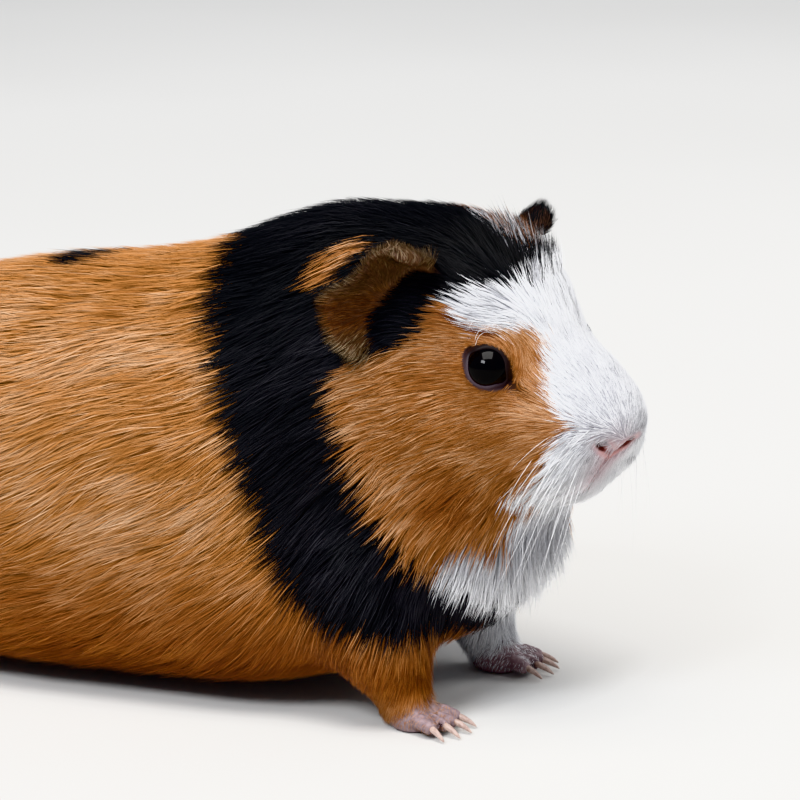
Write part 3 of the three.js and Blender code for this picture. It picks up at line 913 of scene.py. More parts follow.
def loosened(mass, place):
    steepness, most = mass["loosens"]
    return np.clip(within_mass(mass, place) * steepness, 0, most)


def looseness(place, on_ear):
    """How far the coat runs straight on instead of following the skin, from 0 to 1."""
    pad, fringe = loosened(LIP_PAD, place), loosened(CHEEK_FRINGE, place)
    raised = np.clip(standing(place) * 4, 0, 1)
    return np.maximum.reduce((np.full(len(place), CLOSE), pad, fringe, raised, on_ear > 0.5))


def near_follicle(points):
    place = places(points)
    roots = [root for row in WHISKER_ROWS for root in roots_in(row)]
    aside = [np.linalg.norm((place - root)[:, ::2], axis=1) for root in roots]
    return (np.min(aside, axis=0) < FOLLICLE["radius"]) & (place[:, 1] > 4)


def laid_over(skin, root, normal, lie, length, stray, loose, ear):
    """The spots on the skin, the normals and the directions at the stations of each tuft."""
    spots, normals, lies = [root], [normal], [lie]
    for start, end in zip(STATIONS, STATIONS[1:]):
        ahead = spots[-1] + lies[-1] * (length * (end - start))[:, None]
        spot, flat = skin.nearest(ahead)
        spot = spot + (ahead - spot) * loose
        flat = unit(flat + (normals[-1] - flat) * loose)
        onward = lie_at(spot, flat, *ear)
        onward = unit(onward + np.cross(flat, onward) * stray[:, None])
        onward = onward * (1 - ONWARD) * (1 - loose) + lies[-1] * (ONWARD + (1 - ONWARD) * loose)
        spots.append(spot)
        normals.append(flat)
        lies.append(unit(onward))
    return spots, normals, lies


def coat_tufts(skin):
    """Every tuft: its course over the skin, its width, and what its colour comes from."""
    source = np.random.default_rng(SEED)
    faces, shares = skin.sample(skin.attributes["coat_density"] / MM**2, source)
    corners = skin.faces[faces]
    root = (skin.co[corners] * shares[..., None]).sum(1)
    normal = unit((skin.normals[corners] * shares[..., None]).sum(1))
    scalar = {name: (values[corners] * shares).sum(1) for name, values in skin.attributes.items()}
    count = len(root)
    ear = scalar["on_ear"], scalar["margin"]
    follicle = near_follicle(root)
    full_length = np.where(follicle, FOLLICLE["length"], scalar["coat_length"])
    long = full_length > SHORT
    bent = long & (source.uniform(size=count) < BENT_SHARE)
    guard = bent & (source.uniform(size=count) < GUARD_HAIRS["share"])
    length = full_length * source.uniform(*LENGTHS, count) * MM
    length *= np.where(guard, GUARD_HAIRS["length"], np.where(long & ~bent, STRAIGHT_LENGTH, 1))
    width = tuft_width(full_length) * source.uniform(*WIDTHS, count)
    width = width * np.where(guard, GUARD_HAIRS["width"], 1) * MM
    rise = source.uniform(*RISES, count) + GUARD_HAIRS["rise"] * guard
    height = np.minimum(scalar["coat_depth"] * np.where(follicle, FOLLICLE["rise"], rise) * MM, length * 0.8)
    stray = source.normal(0, STRAY["each"], count)
    for seed, (by, size) in enumerate(STRAY["groups"], 2):
        stray = stray + by * waves(root, size, seed)
    lie = lie_at(root, normal, *ear)
    raised = standing(places(root)) * source.uniform(0.5, 1.3, count)
    lie = unit(lie + np.cross(normal, lie) * stray[:, None] + normal * raised[:, None])
    loose = looseness(places(root), ear[0])[:, None]
    spots, normals, lies = laid_over(skin, root, normal, lie, length, stray, loose, ear)
    heights = [(height * share)[:, None] for share in STATION_RISES]
    tufts = {
        "course": [spot + flat * over for spot, flat, over in zip(spots, normals, heights)],
        "normals": normals,
        "lies": lies,
        "width": width,
        "long": long,
        "bent": bent,
        "root": root,
        "seen": spots[1],
        "uv": (skin.uv[faces] * shares[..., None]).sum(1),
        "on_ear": scalar["on_ear"],
        "margin": scalar["margin"],
        "guard": guard,
        "follicle": follicle,
        "bare": scalar["bareness"],
        "chance": source.uniform(-1, 1, count),
        "luck": source.uniform(0, 1, count),
        "ragged": source.normal(0, 0.7, count),
    }
    gather_locks(tufts)
    for station in tufts["course"]:
        station[:, 2] = np.maximum(station[:, 2], CLEARANCE)
    return tufts


def gather_locks(tufts):
    """Draws the tips of neighbouring long tufts together into locks that share a tone."""
    members = np.flatnonzero(tufts["long"] & ~tufts["guard"])
    leaders = members[::LOCK]
    tree = KDTree(len(leaders))
    for i, point in enumerate(tufts["course"][1][leaders].tolist()):
        tree.insert(point, i)
    tree.balance()
    nearest = np.array([tree.find(point)[1] for point in tufts["course"][1][members].tolist()])
    leader = leaders[nearest]
    for station, pull in LOCK_PULLS:
        course = tufts["course"][station]
        course[members] += (course[leader] - course[members]) * pull
    shared = tufts["chance"][leader]
    tufts["chance"][members] = tufts["chance"][members] * (1 - LOCK_TONE) + shared * LOCK_TONE


def tuft_mesh(name, kind, tufts, rows):
    """One mesh of the tufts in these rows, each the template bent along its course."""
    shape, shape_faces = TUFTS[kind]
    count, corners = len(rows), len(shape)
    co = np.empty((count, corners, 3))
    shading = np.empty((count, corners, 3))
    for i, (x, y, z) in enumerate(shape):
        here = int(np.argmin(np.abs(np.array(STATIONS) - z)))
        course, normal, lie = (tufts[key][here][rows] for key in ("course", "normals", "lies"))
        sideways = np.cross(normal, lie)
        radius = max(math.hypot(x, y), 1e-9)
        half = tufts["width"][rows, None] / 2 * (STATION_WIDTHS[here] if kind == "bent" else 1.0)
        half = half * (z < 1)
        outward = (sideways * x + normal * y) / radius if z < 1 else normal
        co[:, i] = course + sideways * (half * x / radius) + normal * (half * FLATNESS * y / radius)
        shading[:, i] = unit(outward * (1 - SOFTNESS) + normal * SOFTNESS)
    loops = (shape_faces[None] + (np.arange(count) * corners)[:, None, None]).reshape(-1)
    mesh = bpy.data.meshes.new(name)
    mesh.vertices.add(count * corners)
    mesh.vertices.foreach_set("co", co.astype(np.float32).ravel())
    mesh.loops.add(len(loops))
    mesh.loops.foreach_set("vertex_index", loops.astype(np.int32))
    mesh.polygons.add(len(loops) // 3)
    mesh.polygons.foreach_set("loop_start", np.arange(0, len(loops), 3, dtype=np.int32))
    mesh.update(calc_edges=True)
    mesh.validate()
    layer = mesh.uv_layers.new(name="OFBake")
    patch = np.column_stack((shape[:, 0] / 2, shape[:, 2] - 0.5)) * UV_PATCH
    uv = tufts["uv"][rows][:, None] + patch[None]
    layer.data.foreach_set("uv", uv[:, shape_faces.ravel()].astype(np.float32).ravel())
    add_attribute(mesh, "along", np.tile(shape[:, 2], count))
    for key in ("tone", "tint", "ash"):
        add_attribute(mesh, key, np.repeat(tufts[key][rows], corners))
    return mesh, shading.reshape(-1, 3)


def tuft_width(length):
    """The width in millimetres of a tuft of this length in millimetres."""
    return 0.13 + 0.011 * length


SHORT_FUR = {"ear": 3.4, "less on its rim": 1.6, "foot": 1.5}  # lengths in millimetres
LID_FUR = {"shortest": 1.1, "from": 0.95, "growing": 4.5}  # from the bare lids outwards
COAT_DEPTH = {"least": 0.2, "of_length": 0.24, "most": 2.5}
# How much thinner the coat is in some places, from 0 to 1, and the heights in millimetres where those are.
THINNED = {"foot": 0.8, "ear": 0.62, "less on its rim": 0.6, "underneath": 0.45}
UNDERSIDE = -50
SOLE = -72


def plan_coat(mesh):
    """Sets how deep, long and dense the coat is at each corner of the skin, and what colour the skin has."""
    co = corners_of(mesh)
    down = normals_of(mesh)[:, 2]
    place = places(co)
    up = place[:, 2]
    bare, ear, margin = (attribute_of(mesh, name) for name in ("bareness", "on_ear", "margin"))
    sockets = SOCKETS.values()
    eye_gap = np.min([socket.edge_of_bare(co) for socket in sockets], axis=0)
    near = near_eyes(co, 11 * MM)
    nostril, crease = from_nostril(co), from_nose_crease(co)

    _, length = combed(co)
    on_ear_length = SHORT_FUR["ear"] - SHORT_FUR["less on its rim"] * margin
    length = length + (np.where(ear > 0.3, on_ear_length, SHORT_FUR["foot"]) - length) * bare
    by_eye = LID_FUR["shortest"] + np.maximum(eye_gap - LID_FUR["from"], 0) * LID_FUR["growing"]
    length = np.where(near, np.minimum(length, by_eye), length)

    density = np.minimum(LAYERS / (0.55 * length * tuft_width(length)), MOST_DENSE)
    density *= 1 - THINNED["foot"] * bare * (1 - ear)
    density *= 1 - ear * (THINNED["ear"] - THINNED["less on its rim"] * margin)
    density *= 1 - THINNED["underneath"] * smoothstep(-0.5, -0.9, down) * (up < UNDERSIDE)
    off_lids = np.where(near, smoothstep(0.92, 1.06, eye_gap), 1)
    off_soles = 1 - smoothstep(-0.7, -0.9, down) * (up < SOLE)
    density *= off_lids * off_soles * smoothstep(0.9, 1.4, nostril) * smoothstep(0.3, 1.1, crease)

    black, white = markings(co)
    below_eyes = np.array([along(unit(co - socket.centre), -socket.upward) for socket in sockets])
    nearer = np.argmin([np.linalg.norm(co - socket.centre, axis=1) for socket in sockets], axis=0)
    planned = {
        "coat_depth": np.minimum(COAT_DEPTH["of_length"] * length + COAT_DEPTH["least"], COAT_DEPTH["most"]),
        "coat_length": length,
        "coat_density": density,
        "black": black,
        "white": white,
        "lid": np.where(near, 1 - smoothstep(0.95, 1.12, eye_gap), 0),
        # lid_low is 0 on the upper lid, which has painted shade, and 1 on the lower lid.
        "lid_low": smoothstep(-0.2, 0.6, below_eyes[nearer, np.arange(len(co))]),
        # Masks for the painted shade in the nostrils and in the crease below them.
        "nostril": 1 - smoothstep(0.75, 1.15, nostril),
        "nose_crease": np.exp(-((crease / 0.7) ** 2)),
        "nose_pink": np.exp(-((np.minimum(crease, nostril * 1.1) / 1.7) ** 2)),
        "deep": deepness_and_underside_shade(place),
        "blush": blush(co),
    }
    for name, values in planned.items():
        add_attribute(mesh, name, values)


# A painted shadow: the ginger on the throat under the cheek pad is deeper and darker.
PAINTED_THROAT_SHADOW = {"place": (-4, 20, -27), "radii": (11, 14, 11), "share": 0.85}
DEEP_CHEEK = {"over": (-32, -24), "share": 0.4}
PALE_FORELEG = {"down": (-64, -72), "forward": (-45, -38), "share": 0.5}
# Painted shade: the ginger turns deeper and darker from the flank down to under the belly.
DEEP_SHADED_BELLY = (-30, -64)
BLUSH = {"place": (25, 0, -18.5), "radii": (7, 4, 5)}


def round_mass(mass, place):
    """1 at the middle of a soft ellipsoid, falling off smoothly round it."""
    return np.exp(-(((place - np.array(mass["place"])) / np.array(mass["radii"])) ** 2).sum(1))


def deepness_and_underside_shade(place):
    """How deep and red the ginger is, from 0 on the back to 1 under the belly and at the throat: partly the
    coat's own redder colour, and partly painted shade on the underside and a painted shadow on the throat
    under the cheek pad.
    """
    forward, up = place[:, 0], place[:, 2]
    cheek = DEEP_CHEEK["share"] * smoothstep(*DEEP_CHEEK["over"], forward)
    throat = PAINTED_THROAT_SHADOW["share"] * round_mass(PAINTED_THROAT_SHADOW, place)
    foreleg = PALE_FORELEG["share"] * smoothstep(*PALE_FORELEG["down"], up)
    foreleg = foreleg * smoothstep(*PALE_FORELEG["forward"], forward)
    return np.clip(np.maximum.reduce((smoothstep(*DEEP_SHADED_BELLY, up), cheek, throat)) - foreleg, 0, 1)


def blush(points):
    """How pink the muzzle is, from 0 to 1 between the nostrils and on the lips below them."""
    return round_mass(BLUSH, nose_places(points))


# What makes tufts darker or lighter, where -1 is darkest and 1 lightest. Places are in millimetres. Of a pair
# of tones, the second is what the head adds to the first.
HEAD_COAT = (-34, -24)
CHANCE_TONE = (0.40, 0.65)
# Streaks of lighter and darker tone along the lie: partly the coat's own variation, and partly painted sheen
# in the paler ones.
STREAK_AND_SHEEN_TONE = (0.42, 0.15)
STREAKS_AND_SHEEN = {"along": (0.35, 1, 1), "fine": 0.004, "broad": 0.02}
GUARD_TONE = 0.4
WHITE_CONTRAST = 1.5
DARK_BACK = {"over": (0, 14), "by": 0.4}
# Painted shade: the tufts under the belly are darker.
PAINTED_BELLY_SHADE = {"over": (-60, -74), "by": 0.7}
# Painted shade: the black tufts on the crown are darker, over these heights in millimetres.
PAINTED_CROWN_SHADE = (8, 18)
SHADED_THROAT = {"over": ((-29, -33), (-42, -38)), "by": 1.2}
# Painted light: the white tufts on the lips are lighter, as if lit from below.
PAINTED_LIP_LIGHT = {"over": ((-12, -16), (-30, -27)), "by": 0.8}
LIGHT_FEET = {"below": -60, "by": 0.9}
LIGHT_FRINGE = {"over": (5, 1), "by": 0.7}
# Painted shade: the ginger tufts in the brow crease take this tone.
PAINTED_CREASE_SHADE = -0.9
EAR_TUFT_SHADE = {"reach": 1.6, "by": 0.35}


def fur_colours(tufts, black, white, straight, ear, right_ear):
    """Which of the coat's colours each tuft has."""
    luck = tufts["luck"]
    colour = np.where(black > 0.5, BLACK_FUR, np.where(white > 0.5, WHITE_FUR, GINGER_FUR))
    colour = np.where(right_ear, GINGER_FUR, np.where(ear, BLACK_FUR, colour))
    for speckled in SPECKLED_CROWN:
        within = (within_mass(speckled, straight) > 0.25 * luck) & (colour == BLACK_FUR)
        colour = np.where(within & (luck < speckled["white"]), WHITE_FUR, colour)
        colour = np.where(within & (luck > 1 - speckled["ginger"]), GINGER_FUR, colour)
    return colour


def fur_tones(tufts, black, white, place):
    """How dark or light each tuft is where it isn't on an ear or in a crease."""
    root, up = tufts["root"], place[:, 2]
    of_head = smoothstep(*HEAD_COAT, place[:, 0])
    fine = waves(root * np.array(STREAKS_AND_SHEEN["along"]), STREAKS_AND_SHEEN["fine"], 4)
    streaks_and_sheen = 0.5 * fine + 0.5 * waves(root, STREAKS_AND_SHEEN["broad"], 5)
    tone = (CHANCE_TONE[0] + CHANCE_TONE[1] * of_head) * tufts["chance"]
    tone = tone + (STREAK_AND_SHEEN_TONE[0] + STREAK_AND_SHEEN_TONE[1] * of_head) * streaks_and_sheen + GUARD_TONE * tufts["guard"]
    tone = np.where(white > 0.5, tone * WHITE_CONTRAST, tone)
    back = DARK_BACK["by"] * smoothstep(*DARK_BACK["over"], up)
    belly = PAINTED_BELLY_SHADE["by"] * smoothstep(*PAINTED_BELLY_SHADE["over"], up)
    tone -= (back + belly) * (1 - of_head)
    tone = np.where(black > 0.5, tone - smoothstep(*PAINTED_CROWN_SHADE, up) * of_head, tone)
    throat = SHADED_THROAT["by"] * between(up, *SHADED_THROAT["over"])
    lips = PAINTED_LIP_LIGHT["by"] * between(up, *PAINTED_LIP_LIGHT["over"])
    tone = np.where(white > 0.5, tone - throat + lips, tone)
    tone += LIGHT_FEET["by"] * tufts["bare"] * (up < LIGHT_FEET["below"])
    fringe = within_mass(CHEEK_FRINGE, place) > 0.1
    at_edge = smoothstep(*LIGHT_FRINGE["over"], depth_inside(GINGER_CHEEK, place))
    return tone + LIGHT_FRINGE["by"] * fringe * at_edge


def ear_tones(tufts, place):
    """How dark or light the hairs of the right ear are: pale at its rim, its fold and its lowest part."""
    forward, up = place[:, 0], place[:, 2]
    fold = (forward > -17) & (up > 17)
    pale = 0.9 - 2.2 * smoothstep(0, 11, up) + 0.7 * fold + 1.1 * tufts["margin"]
    return 0.7 * np.clip(pale, -1, 1) + 1.3 * tufts["chance"] - 0.2


def colour_tufts(tufts):
    """Gives each tuft its tone, tint and ash, and returns the colour of the marking it lies in."""
    black, white = markings(tufts["seen"], tufts["ragged"])
    straight, _ = straightened(tufts["root"])
    place = places(tufts["root"])
    ear = tufts["on_ear"] > 0.5
    right_ear = ear & (straight[:, 1] < 0)
    colour = fur_colours(tufts, black, white, straight, ear, right_ear)
    crease = from_line(place[:, ::2], BROW_CREASE["line"]) < BROW_CREASE["width"]
    behind_ear = from_line(place, EAR_TUFT["ends"]) < EAR_TUFT["radius"] * EAR_TUFT_SHADE["reach"]
    red_band = between(place[:, 2], (5, 8), (16, 12)) * (1 - tufts["margin"])

    tone = fur_tones(tufts, black, white, place)
    # Painted shade in the brow crease: its ginger tufts are darkest.
    tone = np.where(crease & (colour == GINGER_FUR), PAINTED_CREASE_SHADE, tone) - EAR_TUFT_SHADE["by"] * behind_ear
    tone = np.where(right_ear, ear_tones(tufts, place), tone)
    pink = np.minimum(1.6 * blush(tufts["root"]), 1)
    # Ginger tufts take the deep tint where the ginger is redder, and where painted shade falls under the
    # belly, on the throat and in the brow crease.
    tint = np.where(colour == WHITE_FUR, pink, np.maximum(deepness_and_underside_shade(place), crease))
    tufts["tone"] = np.clip(tone, -1, 1)
    tufts["tint"] = np.where(right_ear, red_band, tint)
    tufts["ash"] = np.where(right_ear, 1 - 0.6 * red_band, tufts["follicle"] * (colour == WHITE_FUR))
    return colour


def build_coat(skin):
    tufts = coat_tufts(skin)
    colour = colour_tufts(tufts)
    for kind, (_, shape_faces) in TUFTS.items():
        per_piece = MOST_TRIANGLES // len(shape_faces)
        of_kind = tufts["bent"] == (kind == "bent")
        for number, name in enumerate(COAT_COLOURS):
            rows = np.flatnonzero(of_kind & (colour == number))
            rows = rows[np.argsort(tufts["root"][rows, 0])]
            for i, group in enumerate(np.array_split(rows, max(1, -(-len(rows) // per_piece)))):
                label = f"coat_{name}_{kind}_{i + 1}"
                mesh, shading = tuft_mesh(label, kind, tufts, group)
                finish_piece(link(label, mesh), FINISHES[f"{name} coat"])
                mesh.normals_split_custom_set_from_vertices(shading.tolist())


# ---------------------------------------------------------------- eyes, claws and whiskers


CORNEA = {"radius": 3.2 * MM, "height": 0.35 * MM}  # the bulge in front of each eyeball
CLAW_ROOT = 1.4 * MM  # how far the base of a claw is drawn back into its toe


def build_eyeball(side):
    ball = bmesh.new()
    bmesh.ops.create_uvsphere(ball, u_segments=64, v_segments=40, radius=EYE_RADIUS)
    turn = Vector(SOCKETS[side].gaze).to_track_quat("Z", "Y").to_matrix().to_4x4()
    for vert in ball.verts:
        aside = math.hypot(vert.co.x, vert.co.y) / CORNEA["radius"]
        if vert.co.z > 0:
            vert.co.z += CORNEA["height"] * math.exp(-(aside**2))
    bmesh.ops.transform(ball, matrix=Matrix.Translation(SOCKETS[side].centre) @ turn, verts=ball.verts)
    mesh = bpy.data.meshes.new(f"eyeball_{side}")
    ball.to_mesh(mesh)
    ball.free()
    piece = finish_piece(link(f"eyeball_{side}", mesh), FINISHES["eye"])
    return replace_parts(piece, f"eye_{side}")


def rooted(co, foot):
    """A claw's corners with its base drawn back towards the foot."""
    middle = co.mean(0)
    axis = np.linalg.svd(co - middle)[2][0]
    axis *= np.sign(axis @ (foot - middle))
    share = (co - middle) @ axis
    return co + np.outer(smoothstep(0, 0.8, share / share.max()) * CLAW_ROOT, axis)


def build_claws():
    names = [name for name in BARE_NODES if "claw" in name]
    claws = bmesh.new()
    for name in names:
        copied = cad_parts[name].data.copy()
        foot = middle_of(name.replace("claw", "foot").rsplit("_", 1)[0])
        set_corners(copied, rooted(corners_of(copied), foot))
        claws.from_mesh(copied)
        bpy.data.meshes.remove(copied)
    bmesh.ops.remove_doubles(claws, verts=claws.verts, dist=1e-6)
    mesh = bpy.data.meshes.new("claws")
    claws.to_mesh(mesh)
    claws.free()
    piece = link("claws", mesh)
    smooth = piece.modifiers.new("smooth", "SUBSURF")
    smooth.levels = smooth.render_levels = 2
    finish_piece(piece, FINISHES["claw"])
    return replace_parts(piece, *names)


def thread_width(share):
    """How wide a thread is at this share of its length, where it is 1 at its root."""
    return (1 - share**1.5) * 0.9 + 0.1


def tapered_thread(bm, points, radius, sides=5):
    """A closed thread along the points that thins to its tip, made of one ring extruded along them."""
    points = [Vector(point) for point in points]
    heading = (points[1] - points[0]).normalized()
    start = Matrix.Translation(points[0]) @ heading.to_track_quat("Z", "Y").to_matrix().to_4x4()
    ring = bmesh.ops.create_circle(bm, cap_ends=True, segments=sides, radius=radius, matrix=start)["verts"]
    face = ring[0].link_faces[0]
    last = len(points) - 1
    for i in range(1, len(points)):
        face = bmesh.ops.extrude_discrete_faces(bm, faces=[face])["faces"][0]
        bmesh.ops.translate(bm, vec=points[i] - points[i - 1], verts=face.verts)
        narrowing = thread_width(i / last) / thread_width((i - 1) / last)
        bmesh.ops.scale(bm, vec=(narrowing,) * 3, space=Matrix.Translation(-points[i]), verts=face.verts)


# Whiskers grow in rows on the lip pads, which run back and down: each row's first place, how far its whiskers
# reach, how many it has and how steeply they hang.
WHISKER_ROWS = [
    {"place": (21.5, 8.6, -10.2), "length": 13, "count": 4, "hang": 0.5},
    {"place": (20.8, 11.2, -13), "length": 16, "count": 5, "hang": 0.9},
    {"place": (20.6, 10.8, -16.4), "length": 22, "count": 5, "hang": 1.15},
    {"place": (20.4, 8.8, -19.4), "length": 19, "count": 4, "hang": 1.4},
]
WHISKER_STEP = np.array((-2.2, 0.5, -0.6))
WHISKER_HEADING = (-0.55, 0.6)
WHISKER_STRAY = 0.12
WHISKER_LIFT = 0.25  # how far its heading is turned off the skin
WHISKER_REACHES = (0.6, 1.1)
WHISKER_SAG = np.array((-0.1, 0, -0.45))  # of its tip, as shares of its reach
WHISKER_RADIUS = 0.055 * MM
WHISKER_ROOT = 0.3  # how many millimetres deep it starts in the skin
WHISKER_POINTS = 9

# Long pale hairs arch forward over each eye: the course of one, and how the others lie beside it.
BROW_HAIR = [(-2.2, 16.6, 5.7), (-0.6, 14.5, 7.6), (2.4, 13.2, 6.5), (4.4, 12.6, 4.6)]
BROW_HAIR_SHIFTS = [(0, 0, 0), (-1.4, 0, 1.7), (0.4, 0, -0.9)]
BROW_HAIR_LIFTS = 2.1 * MM * np.array((0, 1, 1, 1))
BROW_HAIR_RADIUS = WHISKER_RADIUS * 0.7


def roots_in(row):
    """The places from which the whiskers of a row grow."""
    return [np.array(row["place"]) + WHISKER_STEP * i for i in range(row["count"])]


def whisker_course(skin, root, row, sign, source):
    spot, normal = (found[0] for found in skin.nearest(on_head(root, sign)[None]))
    heading = unit(np.array((*WHISKER_HEADING, -row["hang"])) + source.normal(0, WHISKER_STRAY, 3))
    heading = unit(on_head(heading, sign) - BROW)
    heading = unit(heading + normal * WHISKER_LIFT)
    reach = row["length"] * source.uniform(*WHISKER_REACHES) * MM
    shares = np.linspace(0, 1, WHISKER_POINTS)
    course = spot - normal * WHISKER_ROOT * MM + np.outer(shares, heading * reach)
    course = course + np.outer(shares**2, WHISKER_SAG * reach)
    course[:, 2] = np.maximum(course[:, 2], CLEARANCE)
    return course


def brow_hair_course(skin, shift, sign):
    spots, normals = skin.nearest(np.array([on_head(np.array(place) + shift, sign) for place in BROW_HAIR]))
    return curved(spots + normals * BROW_HAIR_LIFTS[:, None])


def curved(points, steps=4):
    """The points with more between them, on one smooth curve."""
    rows = np.linspace(0, len(points) - 1, (len(points) - 1) * steps + 1)
    powers = np.vander(rows / (len(points) - 1), 4)
    fit = np.vander(np.linspace(0, 1, len(points)), 4)
    return powers @ np.linalg.solve(fit, points)


def build_whiskers(skin):
    source = np.random.default_rng(SEED + 7)
    threads = bmesh.new()
    for sign in SIDES.values():
        for row in WHISKER_ROWS:
            for root in roots_in(row):
                tapered_thread(threads, whisker_course(skin, root, row, sign, source), WHISKER_RADIUS)
        for shift in BROW_HAIR_SHIFTS:
            tapered_thread(threads, brow_hair_course(skin, shift, sign), BROW_HAIR_RADIUS)
    bmesh.ops.recalc_face_normals(threads, faces=threads.faces)
    mesh = bpy.data.meshes.new("whiskers")
    threads.to_mesh(mesh)
    threads.free()
    return finish_piece(link("whiskers", mesh), FINISHES["whisker"])


# ---------------------------------------------------------------- finishes


class Value:
    """A shader value. Arithmetic on it adds Math nodes to its material."""

    def __init__(self, finish, output):
        self.finish = finish
        self.output = output

    def math(self, operation, first, second):
        return self.finish.node("ShaderNodeMath", {"operation": operation}, {0: first, 1: second})

    def __add__(self, other):
        return self.math("ADD", self, other)

    def __radd__(self, other):
        return self.math("ADD", other, self)

    def __mul__(self, other):
        return self.math("MULTIPLY", self, other)

    def __rmul__(self, other):
        return self.math("MULTIPLY", other, self)


class Finish:
    """A material while it is put together."""

    def __init__(self, name):
        self.material = bpy.data.materials.new(name)
        self.material.use_nodes = True
        self.tree = self.material.node_tree
        self.surface = self.tree.nodes["Principled BSDF"]

    def node(self, kind, settings=None, inputs=None, output=0):
        made = self.tree.nodes.new(kind)
        for name, value in (settings or {}).items():
            if name == "stops":
                self.set_stops(made.color_ramp, value)
            else:
                setattr(made, name, value)
        self.fill(made, inputs or {})
        return Value(self, made.outputs[output])

    def fill(self, made, inputs):
        for name, value in inputs.items():
            if isinstance(value, Value):
                self.tree.links.new(value.output, made.inputs[name])
            else:
                made.inputs[name].default_value = value

    def set_stops(self, ramp, stops):
        while len(ramp.elements) > 1:
            ramp.elements.remove(ramp.elements[0])
        ramp.elements[0].position, ramp.elements[0].color = stops[0][0], (*stops[0][1], 1)
        for place, colour in stops[1:]:
            ramp.elements.new(place).color = (*colour, 1)

    def ramp(self, factor, stops):
        return self.node("ShaderNodeValToRGB", {"stops": stops}, {"Fac": factor})

    def grained(self, grain, colours):
        return self.ramp(grain, list(zip(GRAIN_STOPS, colours)))

    def blend(self, factor, first, second):
        first, second = (colour if isinstance(colour, Value) else (*colour, 1) for colour in (first, second))
        return self.node("ShaderNodeMix", {"data_type": "RGBA"}, {0: factor, 6: first, 7: second}, output=2)

    def attribute(self, name):
        return self.node("ShaderNodeAttribute", {"attribute_name": name}, output=2)

    def noise(self, scale, detail=2.0):
        place = self.node("ShaderNodeTexCoord", output=3)
        return self.node("ShaderNodeTexNoise", inputs={"Vector": place, "Scale": scale, "Detail": detail})

    def bump(self, height, strength, distance):
        inputs = {"Height": height, "Strength": strength, "Distance": distance}
        return self.node("ShaderNodeBump", inputs=inputs)

    def done(self, **surface):
        names = {name.replace("_", " "): value for name, value in surface.items()}
        self.fill(self.surface, names)
        return self.material


# Each coat's dark, middle and light, the same where it is tinted, and where it is ashen.
GINGER = [(0.19, 0.062, 0.013), (0.385, 0.166, 0.053), (0.65, 0.44, 0.28)]
# The deep ginger is partly a redder colour and partly painted shade, for the underside, the throat and the
# brow crease.
DEEP_AND_SHADED_GINGER = [(0.06, 0.010, 0.001), (0.175, 0.040, 0.003), (0.40, 0.15, 0.035)]
EAR_GINGER = [(0.012, 0.006, 0.004), (0.12, 0.065, 0.032), (0.42, 0.33, 0.22)]
BLACK = [(0.0012, 0.0012, 0.0016), (0.008, 0.008, 0.009), (0.034, 0.033, 0.037)]
WHITE = [(0.30, 0.30, 0.33), (0.66, 0.66, 0.68), (0.84, 0.84, 0.86)]
PINK = [(0.32, 0.20, 0.22), (0.52, 0.38, 0.41), (0.72, 0.62, 0.65)]
GREY = [(0.05, 0.045, 0.055), (0.14, 0.13, 0.15), (0.36, 0.35, 0.37)]
TONE_STOPS = (0.08, 0.5, 0.95)
# How a tuft's tone and the way along it, from root to tip, move it between dark and light.
SHADE = {"tone": 0.34, "along": 0.24, "root": 0.40}

SKIN_COLOURS = {
    "under ginger": (0.21, 0.085, 0.027),
    "under deep ginger": (0.10, 0.028, 0.004),
    # Painted shade: the upper lid is near black, while the lower lid has its own mauve.
    "upper lid": (0.009, 0.005, 0.005),
    "lower lid": (0.060, 0.044, 0.052),
    "nose": (0.62, 0.36, 0.35),
    # Painted shade: the crease below the nostrils and the insides of the nostrils are dark.
    "crease": (0.33, 0.13, 0.12),
    "nostril": (0.10, 0.022, 0.018),
}
GRAIN_STOPS = (0.3, 0.7)
FOOT_SKIN_COLOURS = [(0.17, 0.12, 0.13), (0.30, 0.22, 0.23)]
EAR_SKIN_COLOURS = [(0.05, 0.024, 0.015), (0.11, 0.055, 0.034)]
EAR_SKIN_REACH = 4  # the ear's own colour is full where this share of the skin is the ear's
EYE_COLOURS = [(0.0015, 0.0015, 0.0018), (0.003, 0.0025, 0.0025)]
CLAW_COLOURS = [(0.30, 0.20, 0.17), (0.50, 0.38, 0.33)]
WHISKER_COLOURS = [(0.78, 0.77, 0.78), (0.92, 0.92, 0.92)]
FLOOR_COLOURS = [(0.62, 0.61, 0.59), (0.66, 0.65, 0.63)]


def coat_finish(name, plain, tinted, ashen, specular=0.35):
    """Fur of one colour: darker at the roots, with a tone of its own for each tuft."""
    fur = Finish(name)
    shade = fur.attribute("tone") * SHADE["tone"] + fur.attribute("along") * SHADE["along"] + SHADE["root"]
    ramps = [fur.ramp(shade, list(zip(TONE_STOPS, colours))) for colours in (plain, tinted, ashen)]
    colour = fur.blend(fur.attribute("tint"), ramps[0], ramps[1])
    colour = fur.blend(fur.attribute("ash"), colour, ramps[2])
    return fur.done(Base_Color=colour, Roughness=0.55, Specular_IOR_Level=specular)


